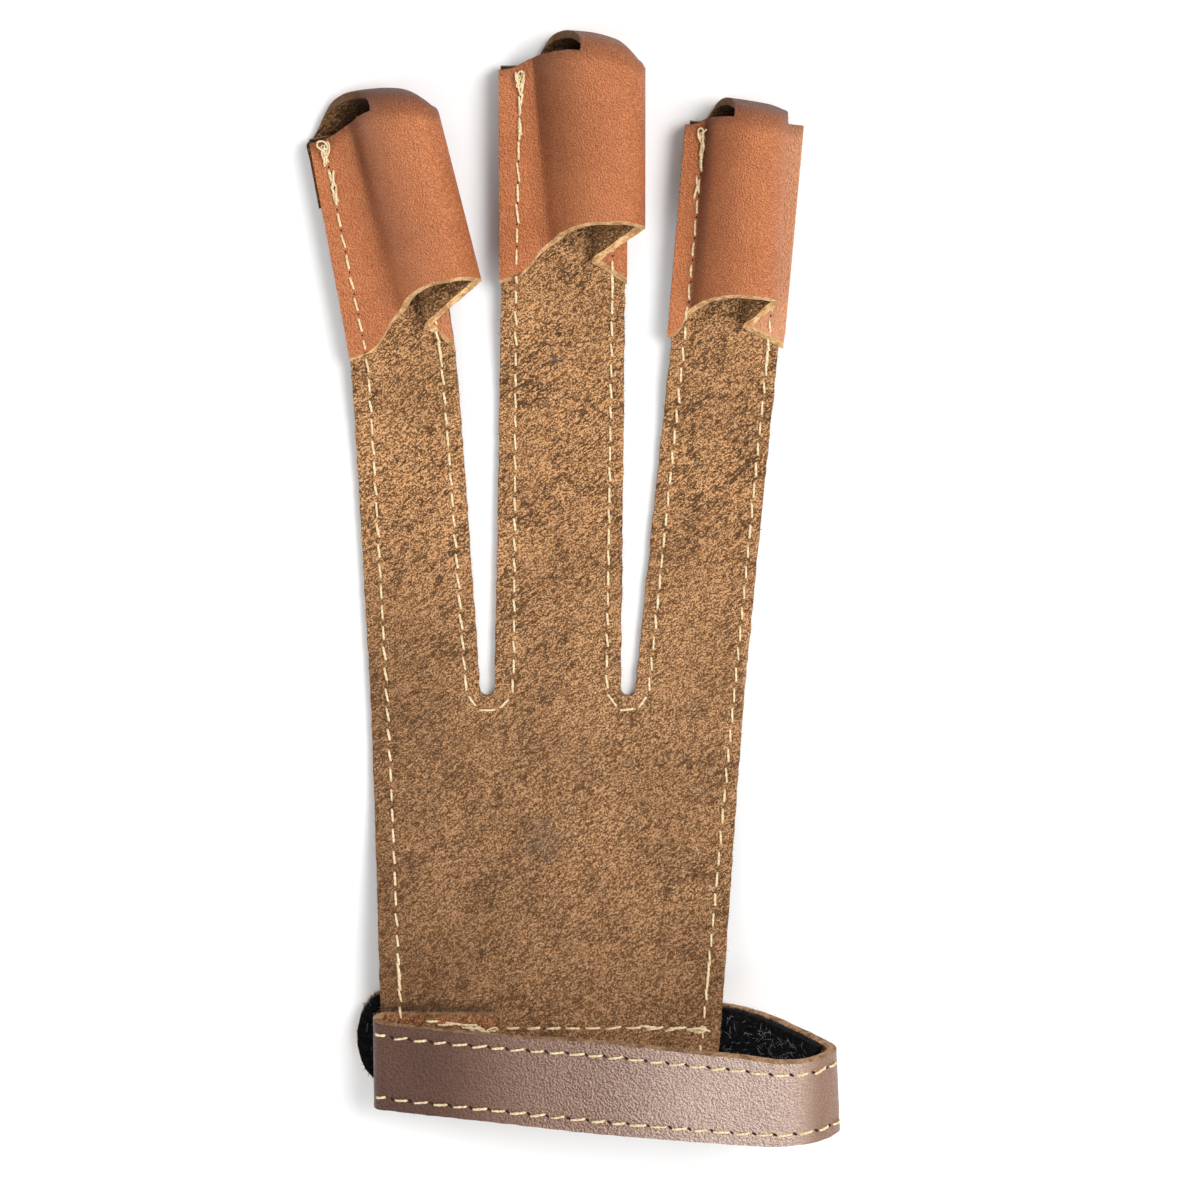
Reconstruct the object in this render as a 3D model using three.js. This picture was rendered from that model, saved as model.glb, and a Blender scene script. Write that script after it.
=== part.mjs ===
import * as THREE from 'three';

// Leather and tape thicknesses, and the clearance left between pieces
const panelThickness = 1.8;
const stallThickness = 1.6;
const strapThickness = 2.0;
const tapeThickness = 1.2;
const patchThickness = 1.2;
const clearance = 0.3;

// Back panel, from its wrist edge to the round ends of the slots between the fingers. It rises over
// the strap within heelRise, which starts heelFlat from the wrist edge, and to its stalls within tipRise.
const palmLength = 90.0;
const wristWidth = 72.8;
const wristShift = -1.8;
const slotWidth = 3.2;
const heelRise = 56;
const heelFlat = 22;
const tipRise = 30;
const tipLevel = 2;
const stripPastStall = 0.8;

// Fingers from left to right. A strip leans by lean degrees from the slots to the stall's mouth, and
// by stallLean from there on. Mouth and tip sizes of a stall are measured across its lower and upper end.
const fingers = [
  {
    name: 'left_stall', rootWidth: 23.7, stripWidth: 22.4, stripLength: 73.3, lean: -3.0,
    stallLean: -9.9, stallLength: 47.6, blankWidth: 22.4, leftFlange: 12.0, tipFlange: 9.4,
    rightFlange: 3.8, overhang: 7.5, tipOverhang: 5.0, height: 12.0, mouthRise: 15.2, shoulderRise: 5.4,
    tongueStart: 0.28, tongueEnd: 0.96, tipReach: 3.2, flapLength: 14.0, flapShift: -1.2, flapWidth: 23.6,
    fanRate: 1.5,
  },
  {
    name: 'middle_stall', rootWidth: 27.3, stripWidth: 26.2, stripLength: 88.5, lean: 0.9,
    stallLean: 0.1, stallLength: 45.0, blankWidth: 27.0, leftFlange: 10.5, tipFlange: 6.9,
    rightFlange: 5.6, overhang: 2.9, tipOverhang: 2.8, height: 12.2, mouthRise: 14.0, shoulderRise: 5.0,
    tongueStart: 0.41, tongueEnd: 0.92, tipReach: 2.8, flapLength: 14.0, flapShift: 0.6, flapWidth: 25.0,
    fanRate: 1.0,
  },
  {
    name: 'right_stall', rootWidth: 23.6, stripWidth: 22.7, stripLength: 76.0, lean: 5.3,
    stallLean: 4.6, stallLength: 45.6, blankWidth: 24.8, leftFlange: 4.8, tipFlange: 4.6,
    rightFlange: 7.2, overhang: -2.8, tipOverhang: -4.4, height: 12.0, mouthRise: 11.6, shoulderRise: 3.4,
    tongueStart: 0.33, tongueEnd: 0.95, tipReach: 2.4, flapLength: 14.0, flapShift: 0.6, flapWidth: 22.4,
    fanRate: 1.0,
  },
];

// Wrist strap: its sewn start, the fold at the panel's left edge, the loop and the round end
const strapWidth = 20.8;
const strapCover = 1.8;
const sewnLength = 25.4;
const foldRadius = 1.6;
const foldReach = 1.9;
const foldTurn = 162;
const loopReach = 23.6;
const loopHeight = 39.9;
const loopTilt = 5.0;
const loopSplay = 1.4;
const tabReach = 5.8;
const tabRound = 7.0;
const tabShift = 3.1;

// Hook tape on the strap's inner face, and the loop patch on the panel's back
const tapeMargin = 1.0;
const tapeClimb = 0.61;
const patchLength = 66;
const patchWidth = 16.5;

// Folds of a stall's sheet from its left edge to its right edge. Each row lies a share along its
// part of the sheet, a share of the crest's height up, and follows the mouth's arch and the shoulder.
const stallFolds = [
  { part: 'leftFlange', along: 0.00, rise: 0.00, mouth: 0.00, shoulder: 0.00 },
  { part: 'leftFlange', along: 0.45, rise: 0.00, mouth: 0.12, shoulder: 0.12 },
  { part: 'leftFlange', along: 0.86, rise: 0.01, mouth: 0.48, shoulder: 0.42 },
  { part: 'front', along: 0.04, rise: 0.10, mouth: 0.62, shoulder: 0.58 },
  { part: 'front', along: 0.16, rise: 0.42, mouth: 0.80, shoulder: 0.82 },
  { part: 'front', along: 0.31, rise: 0.72, mouth: 0.92, shoulder: 1.00 },
  { part: 'front', along: 0.48, rise: 0.92, mouth: 0.99, shoulder: 1.00 },
  { part: 'front', along: 0.66, rise: 1.00, mouth: 1.00, shoulder: 0.94 },
  { part: 'front', along: 0.83, rise: 0.96, mouth: 1.00, shoulder: 0.84 },
  { part: 'front', along: 0.95, rise: 0.78, mouth: 0.96, shoulder: 0.70 },
  { part: 'front', along: 1.00, rise: 0.48, mouth: 0.90, shoulder: 0.56 },
  { part: 'return', along: 0.14, rise: 0.15, mouth: 0.80, shoulder: 0.40 },
  { part: 'return', along: 0.52, rise: 0.04, mouth: 0.62, shoulder: 0.26 },
  { part: 'return', along: 1.00, rise: 0.00, mouth: 0.40, shoulder: 0.14 },
  { part: 'turn', along: 0.30, rise: 0.00, mouth: 0.36, shoulder: 0.10 },
  { part: 'turn', along: 0.70, rise: 0.00, mouth: 0.32, shoulder: 0.08 },
  { part: 'rightFlange', along: 0.00, rise: 0.00, mouth: 0.26, shoulder: 0.06 },
  { part: 'rightFlange', along: 0.50, rise: 0.00, mouth: 0.13, shoulder: 0.02 },
  { part: 'rightFlange', along: 1.00, rise: 0.00, mouth: 0.00, shoulder: 0.00 },
];

// Tongue from a stall's upper edge over the tip: how far forward of the edge it reaches, how far it
// has dropped towards the back, and how far it has fanned out to the width of its back flap
const tongueBends = [
  { forward: 0.30, drop: 0.03, fan: 0.00 },
  { forward: 0.66, drop: 0.12, fan: 0.02 },
  { forward: 0.90, drop: 0.30, fan: 0.07 },
  { forward: 1.00, drop: 0.52, fan: 0.16 },
  { forward: 0.80, drop: 0.74, fan: 0.29 },
  { forward: 0.25, drop: 0.91, fan: 0.42 },
];
const flapBends = [
  { back: 0.00, fan: 0.60 },
  { back: 0.07, fan: 0.68 },
  { back: 0.30, fan: 0.86 },
  { back: 0.62, fan: 0.98 },
  { back: 1.00, fan: 1.00 },
];

// Loop of the strap from its fold at the left to the floor behind the panel: shares of the loop's
// span and height, and of the tilt that lowers and splays its wrist-side edge
const loopBends = [
  { across: 0.266, up: 0.510, tilt: 0.0 },
  { across: 0.487, up: 0.712, tilt: 0.2 },
  { across: 0.706, up: 0.900, tilt: 0.7 },
  { across: 0.800, up: 0.972, tilt: 0.9 },
  { across: 0.868, up: 1.000, tilt: 1.0 },
  { across: 0.935, up: 0.950, tilt: 1.0 },
  { across: 0.978, up: 0.850, tilt: 1.0 },
  { across: 0.999, up: 0.735, tilt: 0.9 },
  { across: 0.974, up: 0.590, tilt: 0.7 },
  { across: 0.926, up: 0.392, tilt: 0.4 },
  { across: 0.872, up: 0.225, tilt: 0.2 },
  { across: 0.812, up: 0.115, tilt: 0.1 },
  { across: 0.765, up: 0.048, tilt: 0.0 },
];
const landing = 0.715;

const radians = THREE.MathUtils.degToRad;
const lerp = THREE.MathUtils.lerp;

// Levels of the stack at the wrist, bottom to top, above the surface that the glove lies on
const tapeLevel = strapThickness + clearance + tapeThickness / 2;
const patchLevel = tapeLevel + tapeThickness / 2 + clearance + patchThickness / 2;
const heelLift = patchLevel + patchThickness / 2 + clearance;
const tipLift = stallThickness + clearance;
const startLevel = heelLift + panelThickness + clearance + strapThickness / 2;

// Height of the palm's underside at y: it lies on the surface and rises over the strap at the wrist
function palmLift(y) {
  const flatEnd = heelFlat - palmLength;
  return heelLift * (1 - THREE.MathUtils.smoothstep(y, flatEnd, flatEnd + heelRise));
}

// Height of a strip's underside: it rises to its stall and stays level under it
function stripLift(finger, along) {
  const level = finger.stripLength - tipLevel;
  return tipLift * THREE.MathUtils.smoothstep(along, finger.stripLength - tipRise, level);
}

const palmWidth = fingers.reduce((sum, finger) => sum + finger.rootWidth, 2 * slotWidth);

// Middle of each finger's root, with the slots between the fingers
function rootCentre(index) {
  let x = -palmWidth / 2;
  for (let i = 0; i < index; i++) {
    x += fingers[i].rootWidth + slotWidth;
  }
  return x + fingers[index].rootWidth / 2;
}

// Place in plan on a finger: along its bent centre line and square to it by aside
function fingerPlan(index, along, aside) {
  const finger = fingers[index];
  const lean = radians(finger.lean);
  const stallLean = radians(finger.stallLean);
  const lower = Math.min(along, finger.stripLength);
  const upper = Math.max(along - finger.stripLength, 0);
  const atKnuckle = Math.abs(along - finger.stripLength) < 1e-6;
  let side = along < finger.stripLength ? lean : stallLean;
  if (along < 1e-6) side = 0;
  if (atKnuckle) side = (lean + stallLean) / 2;
  return {
    x: rootCentre(index) + lower * Math.sin(lean) + upper * Math.sin(stallLean) + aside * Math.cos(side),
    y: lower * Math.cos(lean) + upper * Math.cos(stallLean) - aside * Math.sin(side),
  };
}

// Turn a grid of points, null where the sheet is cut away, into a closed sheet of leather
function sheetMesh(name, grid, thickness, color, roughness) {
  const rows = grid.length;
  const columns = grid[0].length;
  const has = (r, c) => r >= 0 && c >= 0 && r < rows && c < columns && grid[r][c] !== null;
  const quad = (r, c) => has(r, c) && has(r, c + 1) && has(r + 1, c) && has(r + 1, c + 1);
  const normals = grid.map((row) => row.map((point) => (point ? new THREE.Vector3() : null)));
  for (let r = 0; r < rows - 1; r++) {
    for (let c = 0; c < columns - 1; c++) {
      if (!quad(r, c)) continue;
      const diagonal = new THREE.Vector3().subVectors(grid[r + 1][c + 1], grid[r][c]);
      const other = new THREE.Vector3().subVectors(grid[r + 1][c], grid[r][c + 1]);
      const normal = new THREE.Vector3().crossVectors(diagonal, other).normalize();
      normals[r][c].add(normal);
      normals[r][c + 1].add(normal);
      normals[r + 1][c].add(normal);
      normals[r + 1][c + 1].add(normal);
    }
  }
  const vertices = [];
  const number = grid.map((row) => row.map(() => -1));
  for (let r = 0; r < rows; r++) {
    for (let c = 0; c < columns; c++) {
      if (!grid[r][c]) continue;
      const offset = normals[r][c].normalize().multiplyScalar(thickness / 2);
      number[r][c] = vertices.length / 3;
      vertices.push(...grid[r][c].clone().add(offset).toArray());
      vertices.push(...grid[r][c].clone().sub(offset).toArray());
    }
  }
  const triangles = [];
  const face = (a, b, c, d) => triangles.push(a, b, c, a, c, d);
  const wall = (a, b) => face(a + 1, b + 1, b, a);
  for (let r = 0; r < rows - 1; r++) {
    for (let c = 0; c < columns - 1; c++) {
      if (!quad(r, c)) continue;
      const a = number[r][c];
      const b = number[r][c + 1];
      const d = number[r + 1][c];
      const e = number[r + 1][c + 1];
      face(a, b, e, d);
      face(a + 1, d + 1, e + 1, b + 1);
      if (!quad(r - 1, c)) wall(a, b);
      if (!quad(r, c + 1)) wall(b, e);
      if (!quad(r + 1, c)) wall(e, d);
      if (!quad(r, c - 1)) wall(d, a);
    }
  }
  const geometry = new THREE.BufferGeometry();
  geometry.setAttribute('position', new THREE.Float32BufferAttribute(vertices, 3));
  geometry.setIndex(triangles);
  geometry.computeVertexNormals();
  const mesh = new THREE.Mesh(geometry, new THREE.MeshStandardMaterial({ color, roughness, metalness: 0 }));
  mesh.name = name;
  return mesh;
}

// Back panel: palm rows up to the round ends of the slots, then the rows of the three strips
function backPanel() {
  const fingerSteps = 3;
  const slotSteps = 4;
  const palmRows = 9;
  const stripRows = 11;
  const roots = [];
  fingers.forEach((finger, index) => {
    for (let i = 0; i <= fingerSteps; i++) {
      const aside = (i / fingerSteps - 0.5) * finger.rootWidth;
      roots.push({ index, x: rootCentre(index) + aside, dip: 0, share: i / fingerSteps - 0.5 });
    }
    if (index === fingers.length - 1) return;
    const slotLeft = rootCentre(index) + finger.rootWidth / 2;
    for (let i = 1; i < slotSteps; i++) {
      const angle = (Math.PI * i) / slotSteps;
      const x = slotLeft + (slotWidth / 2) * (1 - Math.cos(angle));
      roots.push({ index: -1, x, dip: (slotWidth / 2) * Math.sin(angle), share: 0 });
    }
  });
  const grid = [];
  for (let r = 0; r < palmRows; r++) {
    const share = r / palmRows;
    grid.push(roots.map((root) => {
      const wristX = wristShift + (root.x / palmWidth) * wristWidth;
      const y = -palmLength * (1 - share);
      return new THREE.Vector3(lerp(wristX, root.x, share), y, palmLift(y) + panelThickness / 2);
    }));
  }
  grid.push(roots.map((root) => new THREE.Vector3(root.x, -root.dip, panelThickness / 2)));
  const stripShares = [0.2, 0.4, 0.6, 0.7, 0.8, 0.9, 1.0];
  for (let r = 1; r <= stripRows; r++) {
    grid.push(roots.map((root) => {
      if (root.index < 0) return null;
      const finger = fingers[root.index];
      const onStrip = r <= stripShares.length;
      const pastMouth = (r - stripShares.length) / (stripRows - stripShares.length);
      const upper = pastMouth * (finger.stallLength + stripPastStall);
      const along = finger.stripLength * (onStrip ? stripShares[r - 1] : 1) + (onStrip ? 0 : upper);
      const width = lerp(finger.rootWidth, finger.stripWidth, Math.min(along / finger.stripLength, 1));
      const plan = fingerPlan(root.index, along, root.share * width);
      return new THREE.Vector3(plan.x, plan.y, stripLift(finger, along) + panelThickness / 2);
    }));
  }
  return sheetMesh('back_panel', grid, panelThickness, 0x8a6844, 0.95);
}

// Place of one fold row on a stall, across its blank and up from its flanges, at a share of its length
function foldPoint(finger, row, share) {
  const crease = lerp(finger.leftFlange, finger.tipFlange, share);
  const edge = finger.blankWidth + lerp(finger.overhang, finger.tipOverhang, share);
  const turnRadius = 0.75 * stallThickness;
  const seam = finger.blankWidth - finger.rightFlange;
  const up = row.rise * finger.height;
  const returned = 2 * turnRadius;
  const angle = Math.PI * row.along;
  switch (row.part) {
    case 'leftFlange': return { across: row.along * crease, up };
    case 'front': return { across: lerp(crease, edge, row.along), up };
    case 'return': return { across: lerp(edge, seam, row.along), up: up + returned };
    case 'turn': return {
      across: seam - turnRadius * Math.sin(angle),
      up: turnRadius * (1 + Math.cos(angle)),
    };
    default: return { across: lerp(seam, finger.blankWidth, row.along), up };
  }
}

// Finger stall: one folded sheet with an arched mouth, and a tongue over the tip to the back
function fingerStall(index) {
  const finger = fingers[index];
  const stepsPerFold = 2;
  const sheetRows = 7;
  const base = panelThickness + clearance + stallThickness / 2;
  const backLevel = -(panelThickness + 2 * clearance + stallThickness);
  const place = (across, along, up) => {
    const reach = finger.stripLength + along;
    const plan = fingerPlan(index, reach, across - finger.blankWidth / 2);
    return new THREE.Vector3(plan.x, plan.y, base + stripLift(finger, reach) + up);
  };
  const columns = (stallFolds.length - 1) * stepsPerFold;
  const local = [];
  for (let r = 0; r <= sheetRows; r++) {
    const share = r / sheetRows;
    const controls = stallFolds.map((row) => {
      const spot = foldPoint(finger, row, share);
      const low = row.mouth * finger.mouthRise;
      const high = finger.stallLength + row.shoulder * finger.shoulderRise;
      return new THREE.Vector3(spot.across, lerp(low, high, share), spot.up);
    });
    const curve = new THREE.CatmullRomCurve3(controls, false, 'centripetal');
    const line = [];
    for (let c = 0; c <= columns; c++) {
      line.push(curve.getPoint(c / columns));
    }
    local.push(line);
  }
  const frontRows = stallFolds.map((row, i) => (row.part === 'front' ? i : -1)).filter((i) => i >= 0);
  const frontStart = frontRows[0] * stepsPerFold;
  const frontSteps = (frontRows.length - 1) * stepsPerFold;
  const firstTongue = frontStart + Math.round(finger.tongueStart * frontSteps);
  const lastTongue = frontStart + Math.round(finger.tongueEnd * frontSteps);
  const edgeLine = local[sheetRows];
  const bendLines = [];
  for (let c = firstTongue; c <= lastTongue; c++) {
    const from = edgeLine[c];
    const flapShare = (c - firstTongue) / (lastTongue - firstTongue);
    const flapAcross = finger.flapShift + flapShare * finger.flapWidth;
    const flapEnd = finger.stallLength - finger.flapLength;
    const controls = [from.clone()];
    tongueBends.forEach((bend) => controls.push(new THREE.Vector3(
      lerp(from.x, flapAcross, Math.min(bend.fan * finger.fanRate, 1)),
      from.y + bend.forward * finger.tipReach,
      lerp(from.z, backLevel, bend.drop),
    )));
    flapBends.forEach((bend) => controls.push(new THREE.Vector3(
      lerp(from.x, flapAcross, Math.min(bend.fan * finger.fanRate, 1)),
      lerp(finger.stallLength + stripPastStall, flapEnd, bend.back),
      backLevel,
    )));
    const curve = new THREE.CatmullRomCurve3(controls, false, 'centripetal');
    const steps = (controls.length - 1) * stepsPerFold;
    bendLines.push(Array.from({ length: steps }, (_, i) => curve.getPoint((i + 1) / steps)));
  }
  for (let r = 0; r < bendLines[0].length; r++) {
    const line = [];
    for (let c = 0; c <= columns; c++) {
      const onTongue = c >= firstTongue && c <= lastTongue;
      line.push(onTongue ? bendLines[c - firstTongue][r] : null);
    }
    local.push(line);
  }
  const grid = local.map((line) => line.map((p) => (p ? place(p.x, p.y, p.z) : null)));
  return sheetMesh(finger.name, grid, stallThickness, 0xb5623a, 0.5);
}

// Edge of the panel at y, -1 for its left side and 1 for its right side
function panelEdge(y, side) {
  const share = 1 + y / palmLength;
  const wristX = wristShift + (side * wristWidth) / 2;
  return lerp(wristX, (side * palmWidth) / 2, share);
}

const strapMiddle = strapWidth / 2 - palmLength - strapCover;
const foldCentre = panelEdge(strapMiddle, -1) + foldRadius + strapThickness / 2 - foldReach;
const loopSpan = panelEdge(strapMiddle, 1) + loopReach - foldCentre;
const floorStart = foldCentre + landing * loopSpan;
const tabEnd = panelEdge(strapMiddle, -1) - tabReach;

// Strap in its own plane: stations along it, with the tilt of the loop and the width of the round end
function strapStations() {
  const level = strapThickness / 2;
  const stations = [];
  const startEnd = foldCentre + foldRadius - foldReach + sewnLength;
  [1, 0.66, 0.33].forEach((share) => stations.push({
    x: lerp(foldCentre, startEnd, share), z: startLevel, tilt: 0, wide: 1,
  }));
  const foldSteps = 6;
  for (let i = 0; i <= foldSteps; i++) {
    const angle = radians(270 - (foldTurn * i) / foldSteps);
    const x = foldCentre + foldRadius * Math.cos(angle);
    const z = startLevel + foldRadius * (1 + Math.sin(angle));
    stations.push({ x, z, tilt: 0, wide: 1 });
  }
  loopBends.forEach((bend) => stations.push({
    x: foldCentre + bend.across * loopSpan, z: bend.up * loopHeight, tilt: bend.tilt, wide: 1,
  }));
  const flatEnd = tabEnd + tabRound;
  [0, 0.03, 0.5, 1].forEach((share) => stations.push({
    x: lerp(floorStart, flatEnd, share), z: level, tilt: 0, wide: 1, back: true,
  }));
  [70, 50, 34, 20, 9].forEach((degrees) => stations.push({
    x: tabEnd + tabRound * (1 - Math.cos(radians(degrees))), z: level, tilt: 0,
    wide: Math.sin(radians(degrees)), back: true,
  }));
  return stations;
}

// Grid of a band that follows stations, raised from their line towards the inside of the loop
function bandGrid(stations, stepsPerStation, acrossSteps, halfWidth) {
  const edges = [-1, 1].map((side) => stations.map((station) => {
    const lower = side < 0 ? station.tilt : 0;
    const x = station.x + lower * loopSplay;
    const z = station.z - lower * loopTilt;
    const shift = tabShift * THREE.MathUtils.clamp((floorStart - station.x) / (floorStart - tabEnd), 0, 1);
    const middle = strapMiddle + (station.back ? shift : 0);
    return new THREE.Vector3(x, middle + side * halfWidth(station, side), z);
  }));
  const curves = edges.map((points) => new THREE.CatmullRomCurve3(points, false, 'centripetal'));
  const steps = (stations.length - 1) * stepsPerStation;
  const grid = [];
  for (let s = 0; s <= steps; s++) {
    const low = curves[0].getPoint(s / steps);
    const high = curves[1].getPoint(s / steps);
    const row = [];
    for (let c = 0; c <= acrossSteps; c++) {
      row.push(new THREE.Vector3().lerpVectors(low, high, c / acrossSteps));
    }
    grid.push(row);
  }
  return grid;
}

function wristStrap() {
  const grid = bandGrid(strapStations(), 2, 3, (station) => (station.wide * strapWidth) / 2);
  return sheetMesh('wrist_strap', grid, strapThickness, 0x74574a, 0.6);
}

// Hook tape: the strap's stations from the turn of the loop to the round end, moved to its inner face
function hookTape() {
  const stations = strapStations();
  const raise = tapeLevel - strapThickness / 2;
  const crest = stations.findIndex((station) => station.tilt === 1);
  const first = stations.findIndex((station, i) => i > crest && station.z < tapeClimb * loopHeight);
  const moved = stations.map((station, i) => {
    const before = stations[Math.max(i - 1, 0)];
    const after = stations[Math.min(i + 1, stations.length - 1)];
    const length = Math.hypot(after.x - before.x, after.z - before.z);
    return {
      ...station,
      x: station.x + (raise * (after.z - before.z)) / length,
      z: station.z - (raise * (after.x - before.x)) / length,
    };
  }).slice(first);
  const span = moved[0].x - tabEnd;
  const half = (station, side) => {
    const margin = side > 0 ? tapeMargin * THREE.MathUtils.clamp((station.x - tabEnd) / span, 0, 1) : 0;
    return (station.wide * strapWidth) / 2 - margin;
  };
  const grid = bandGrid(moved, 1, 2, half);
  return sheetMesh('hook_tape', grid, tapeThickness, 0x17171a, 1.0);
}

// Loop patch: a plain strip under the panel's wrist end, inside the panel's outline
function loopPatch() {
  const middle = (panelEdge(strapMiddle, -1) + panelEdge(strapMiddle, 1)) / 2;
  const grid = [-1, 1].map((end) => [-1, 1].map((side) => new THREE.Vector3(
    middle + (side * patchLength) / 2,
    strapMiddle + (end * patchWidth) / 2,
    patchLevel,
  )));
  return sheetMesh('loop_patch', grid, patchThickness, 0x2a2724, 1.0);
}

const glove = new THREE.Group();
glove.add(backPanel());
fingers.forEach((finger, index) => glove.add(fingerStall(index)));
glove.add(wristStrap(), hookTape(), loopPatch());

// The origin is the middle of the glove's outline, on the surface that it lies on
const bounds = new THREE.Box3().setFromObject(glove);
const centre = bounds.getCenter(new THREE.Vector3());
glove.position.set(-centre.x, -centre.y, -bounds.min.z);
glove.updateMatrixWorld(true);

export default glove;
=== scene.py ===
import math
import random

import bpy
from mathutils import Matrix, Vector, noise
from mathutils.bvhtree import BVHTree
from mathutils.kdtree import KDTree


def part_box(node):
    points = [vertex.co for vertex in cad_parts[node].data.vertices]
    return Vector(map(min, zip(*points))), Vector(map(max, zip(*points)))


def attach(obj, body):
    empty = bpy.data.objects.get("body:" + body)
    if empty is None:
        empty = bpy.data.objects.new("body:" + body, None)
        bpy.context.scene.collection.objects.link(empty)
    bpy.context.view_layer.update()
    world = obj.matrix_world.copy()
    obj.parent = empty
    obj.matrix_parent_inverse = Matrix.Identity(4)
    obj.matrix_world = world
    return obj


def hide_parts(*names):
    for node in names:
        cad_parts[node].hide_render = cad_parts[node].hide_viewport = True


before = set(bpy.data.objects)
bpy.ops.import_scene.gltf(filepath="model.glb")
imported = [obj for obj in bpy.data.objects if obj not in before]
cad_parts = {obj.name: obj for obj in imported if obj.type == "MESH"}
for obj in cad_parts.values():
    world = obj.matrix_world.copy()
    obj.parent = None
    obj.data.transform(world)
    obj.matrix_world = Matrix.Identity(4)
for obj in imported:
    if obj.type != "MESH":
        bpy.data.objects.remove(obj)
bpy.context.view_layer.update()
random.seed(11)

mm = 0.001

# The glove's sizes in millimetres, in its own frame: y = 0 lies where the slots end
leather = {"panel": 1.8, "stall": 1.6, "strap": 2.0, "tape": 1.2, "patch": 1.2, "clearance": 0.3}

panel = {
    "palmLength": 90.0, "wristWidth": 72.8, "wristShift": -1.8, "slotWidth": 3.2,
    "heelRise": 56, "heelFlat": 22, "tipRise": 30, "tipLevel": 2, "pastStall": 0.8,
    "cell": 0.75, "fingerSpan": 24, "stripSpan": 122, "slotSteps": 6, "edgeWobble": 0.22, "swell": 0.3,
}

# Seams: insets at the slots, the mouth and the tip. Crease: painted shade in the crease, its fold, its reach
# to the left and the right, its strength at the mouth and the tip. Painted reflection stripe: its fold,
# reach and strength. Sheen: strength of the painted sheen and shade at the tip
fingers = [
    {
        "name": "left_stall", "rootWidth": 23.7, "stripWidth": 22.4, "stripLength": 73.3, "lean": -3.0,
        "stallLean": -9.9, "stallLength": 47.6, "blankWidth": 22.4, "leftFlange": 12.0, "tipFlange": 9.4,
        "rightFlange": 3.8, "overhang": 7.5, "tipOverhang": 5.0, "height": 12.0, "mouthRise": 15.2,
        "shoulderRise": 5.4, "tongueStart": 0.28, "tongueEnd": 0.96, "tipReach": 3.2, "flapLength": 14.0,
        "flapShift": -0.85, "flapWidth": 23.6, "fanRate": 1.5,
        "leftSeam": (3.5, 3.6, 3.0), "rightSeam": (3.0, 3.2, 2.6),
        "cornerDrop": 0.9, "cornerCut": 0.85, "flangeRise": 0, "flangeLight": 0.15,
        "crease": (3.0, 0.6, 1.1, 0.1, 0.66), "highlight": (4.3, 0.6, 0.22), "sheen": 1.3,
    },
    {
        "name": "middle_stall", "rootWidth": 27.3, "stripWidth": 26.2, "stripLength": 88.5, "lean": 0.9,
        "stallLean": 0.1, "stallLength": 45.0, "blankWidth": 27.0, "leftFlange": 10.5, "tipFlange": 6.9,
        "rightFlange": 5.6, "overhang": 2.9, "tipOverhang": 2.8, "height": 12.2, "mouthRise": 14.0,
        "shoulderRise": 5.0, "tongueStart": 0.41, "tongueEnd": 0.92, "tipReach": 2.8, "flapLength": 14.0,
        "flapShift": 0.6, "flapWidth": 25.0, "fanRate": 1.0,
        "leftSeam": (4.1, 3.1, 4.1), "rightSeam": (3.1, 2.7, 2.7),
        "cornerDrop": 1.8, "cornerCut": 0.9, "flangeRise": 0, "flangeLight": 0,
        "crease": (2.9, 0.12, 2.3, 0.2, 0.66), "highlight": (5, 0.5, 0), "sheen": 0.95,
    },
    {
        "name": "right_stall", "rootWidth": 23.6, "stripWidth": 22.7, "stripLength": 76.0, "lean": 5.3,
        "stallLean": 4.6, "stallLength": 45.6, "blankWidth": 24.8, "leftFlange": 4.8, "tipFlange": 4.6,
        "rightFlange": 7.2, "overhang": -2.8, "tipOverhang": -4.4, "height": 12.0, "mouthRise": 11.6,
        "shoulderRise": 3.4, "tongueStart": 0.33, "tongueEnd": 0.95, "tipReach": 2.4, "flapLength": 14.0,
        "flapShift": 0.6, "flapWidth": 22.4, "fanRate": 1.0,
        "leftSeam": (2.9, 2.7, 3.0), "rightSeam": (2.2, 2.2, 2.8),
        "cornerDrop": 0, "cornerCut": 0.2, "flangeRise": 1.8, "flangeLight": 0.55,
        "crease": (2.8, 0.5, 0.9, 0.62, 0.86), "highlight": (3.55, 0.22, 0.5), "sheen": 1.15,
    },
]



def lerp(a, b, t):
    return a + (b - a) * t


def ease(value, low, high):
    t = min(max((value - low) / (high - low), 0), 1)
    return t * t * (3 - 2 * t)


def ripple(x, y, seed, size):
    return noise.noise(Vector((x / size, y / size, seed)))


# Smooth line through the points; a share from 0 to 1 runs over them evenly, point by point
def bentLine(points):
    last = len(points) - 1

    def at(share):
        i = min(int(share * last), last - 1)
        t = share * last - i
        b, c = points[i], points[i + 1]
        a = points[i - 1] if i > 0 else b * 2 - c
        d = points[i + 2] if i + 2 <= last else c * 2 - b
        before = max((b - a).length, 1e-6) ** 0.5
        within = max((c - b).length, 1e-6) ** 0.5
        after = max((d - c).length, 1e-6) ** 0.5
        start = ((b - a) / before - (c - a) / (before + within) + (c - b) / within) * within
        end = ((c - b) / within - (d - b) / (within + after) + (d - c) / after) * within
        bend = c * 3 - b * 3 - start * 2 - end
        settle = b * 2 - c * 2 + start + end
        return b + start * t + bend * t**2 + settle * t**3

    return at


# Shares of a line that lie evenly along its length
def evenShares(line, count, samples=1600):
    lengths = [0.0]
    before = line(0)
    for i in range(1, samples + 1):
        point = line(i / samples)
        lengths.append(lengths[-1] + (point - before).length)
        before = point
    shares = []
    i = 0
    for step in range(count + 1):
        goal = lengths[-1] * step / count
        while i < samples - 1 and lengths[i + 1] < goal:
            i += 1
        span = max(lengths[i + 1] - lengths[i], 1e-9)
        shares.append(min((i + (goal - lengths[i]) / span) / samples, 1))
    return shares, lengths[-1]


def lengthOf(line):
    return evenShares(line, 10)[1]


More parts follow.
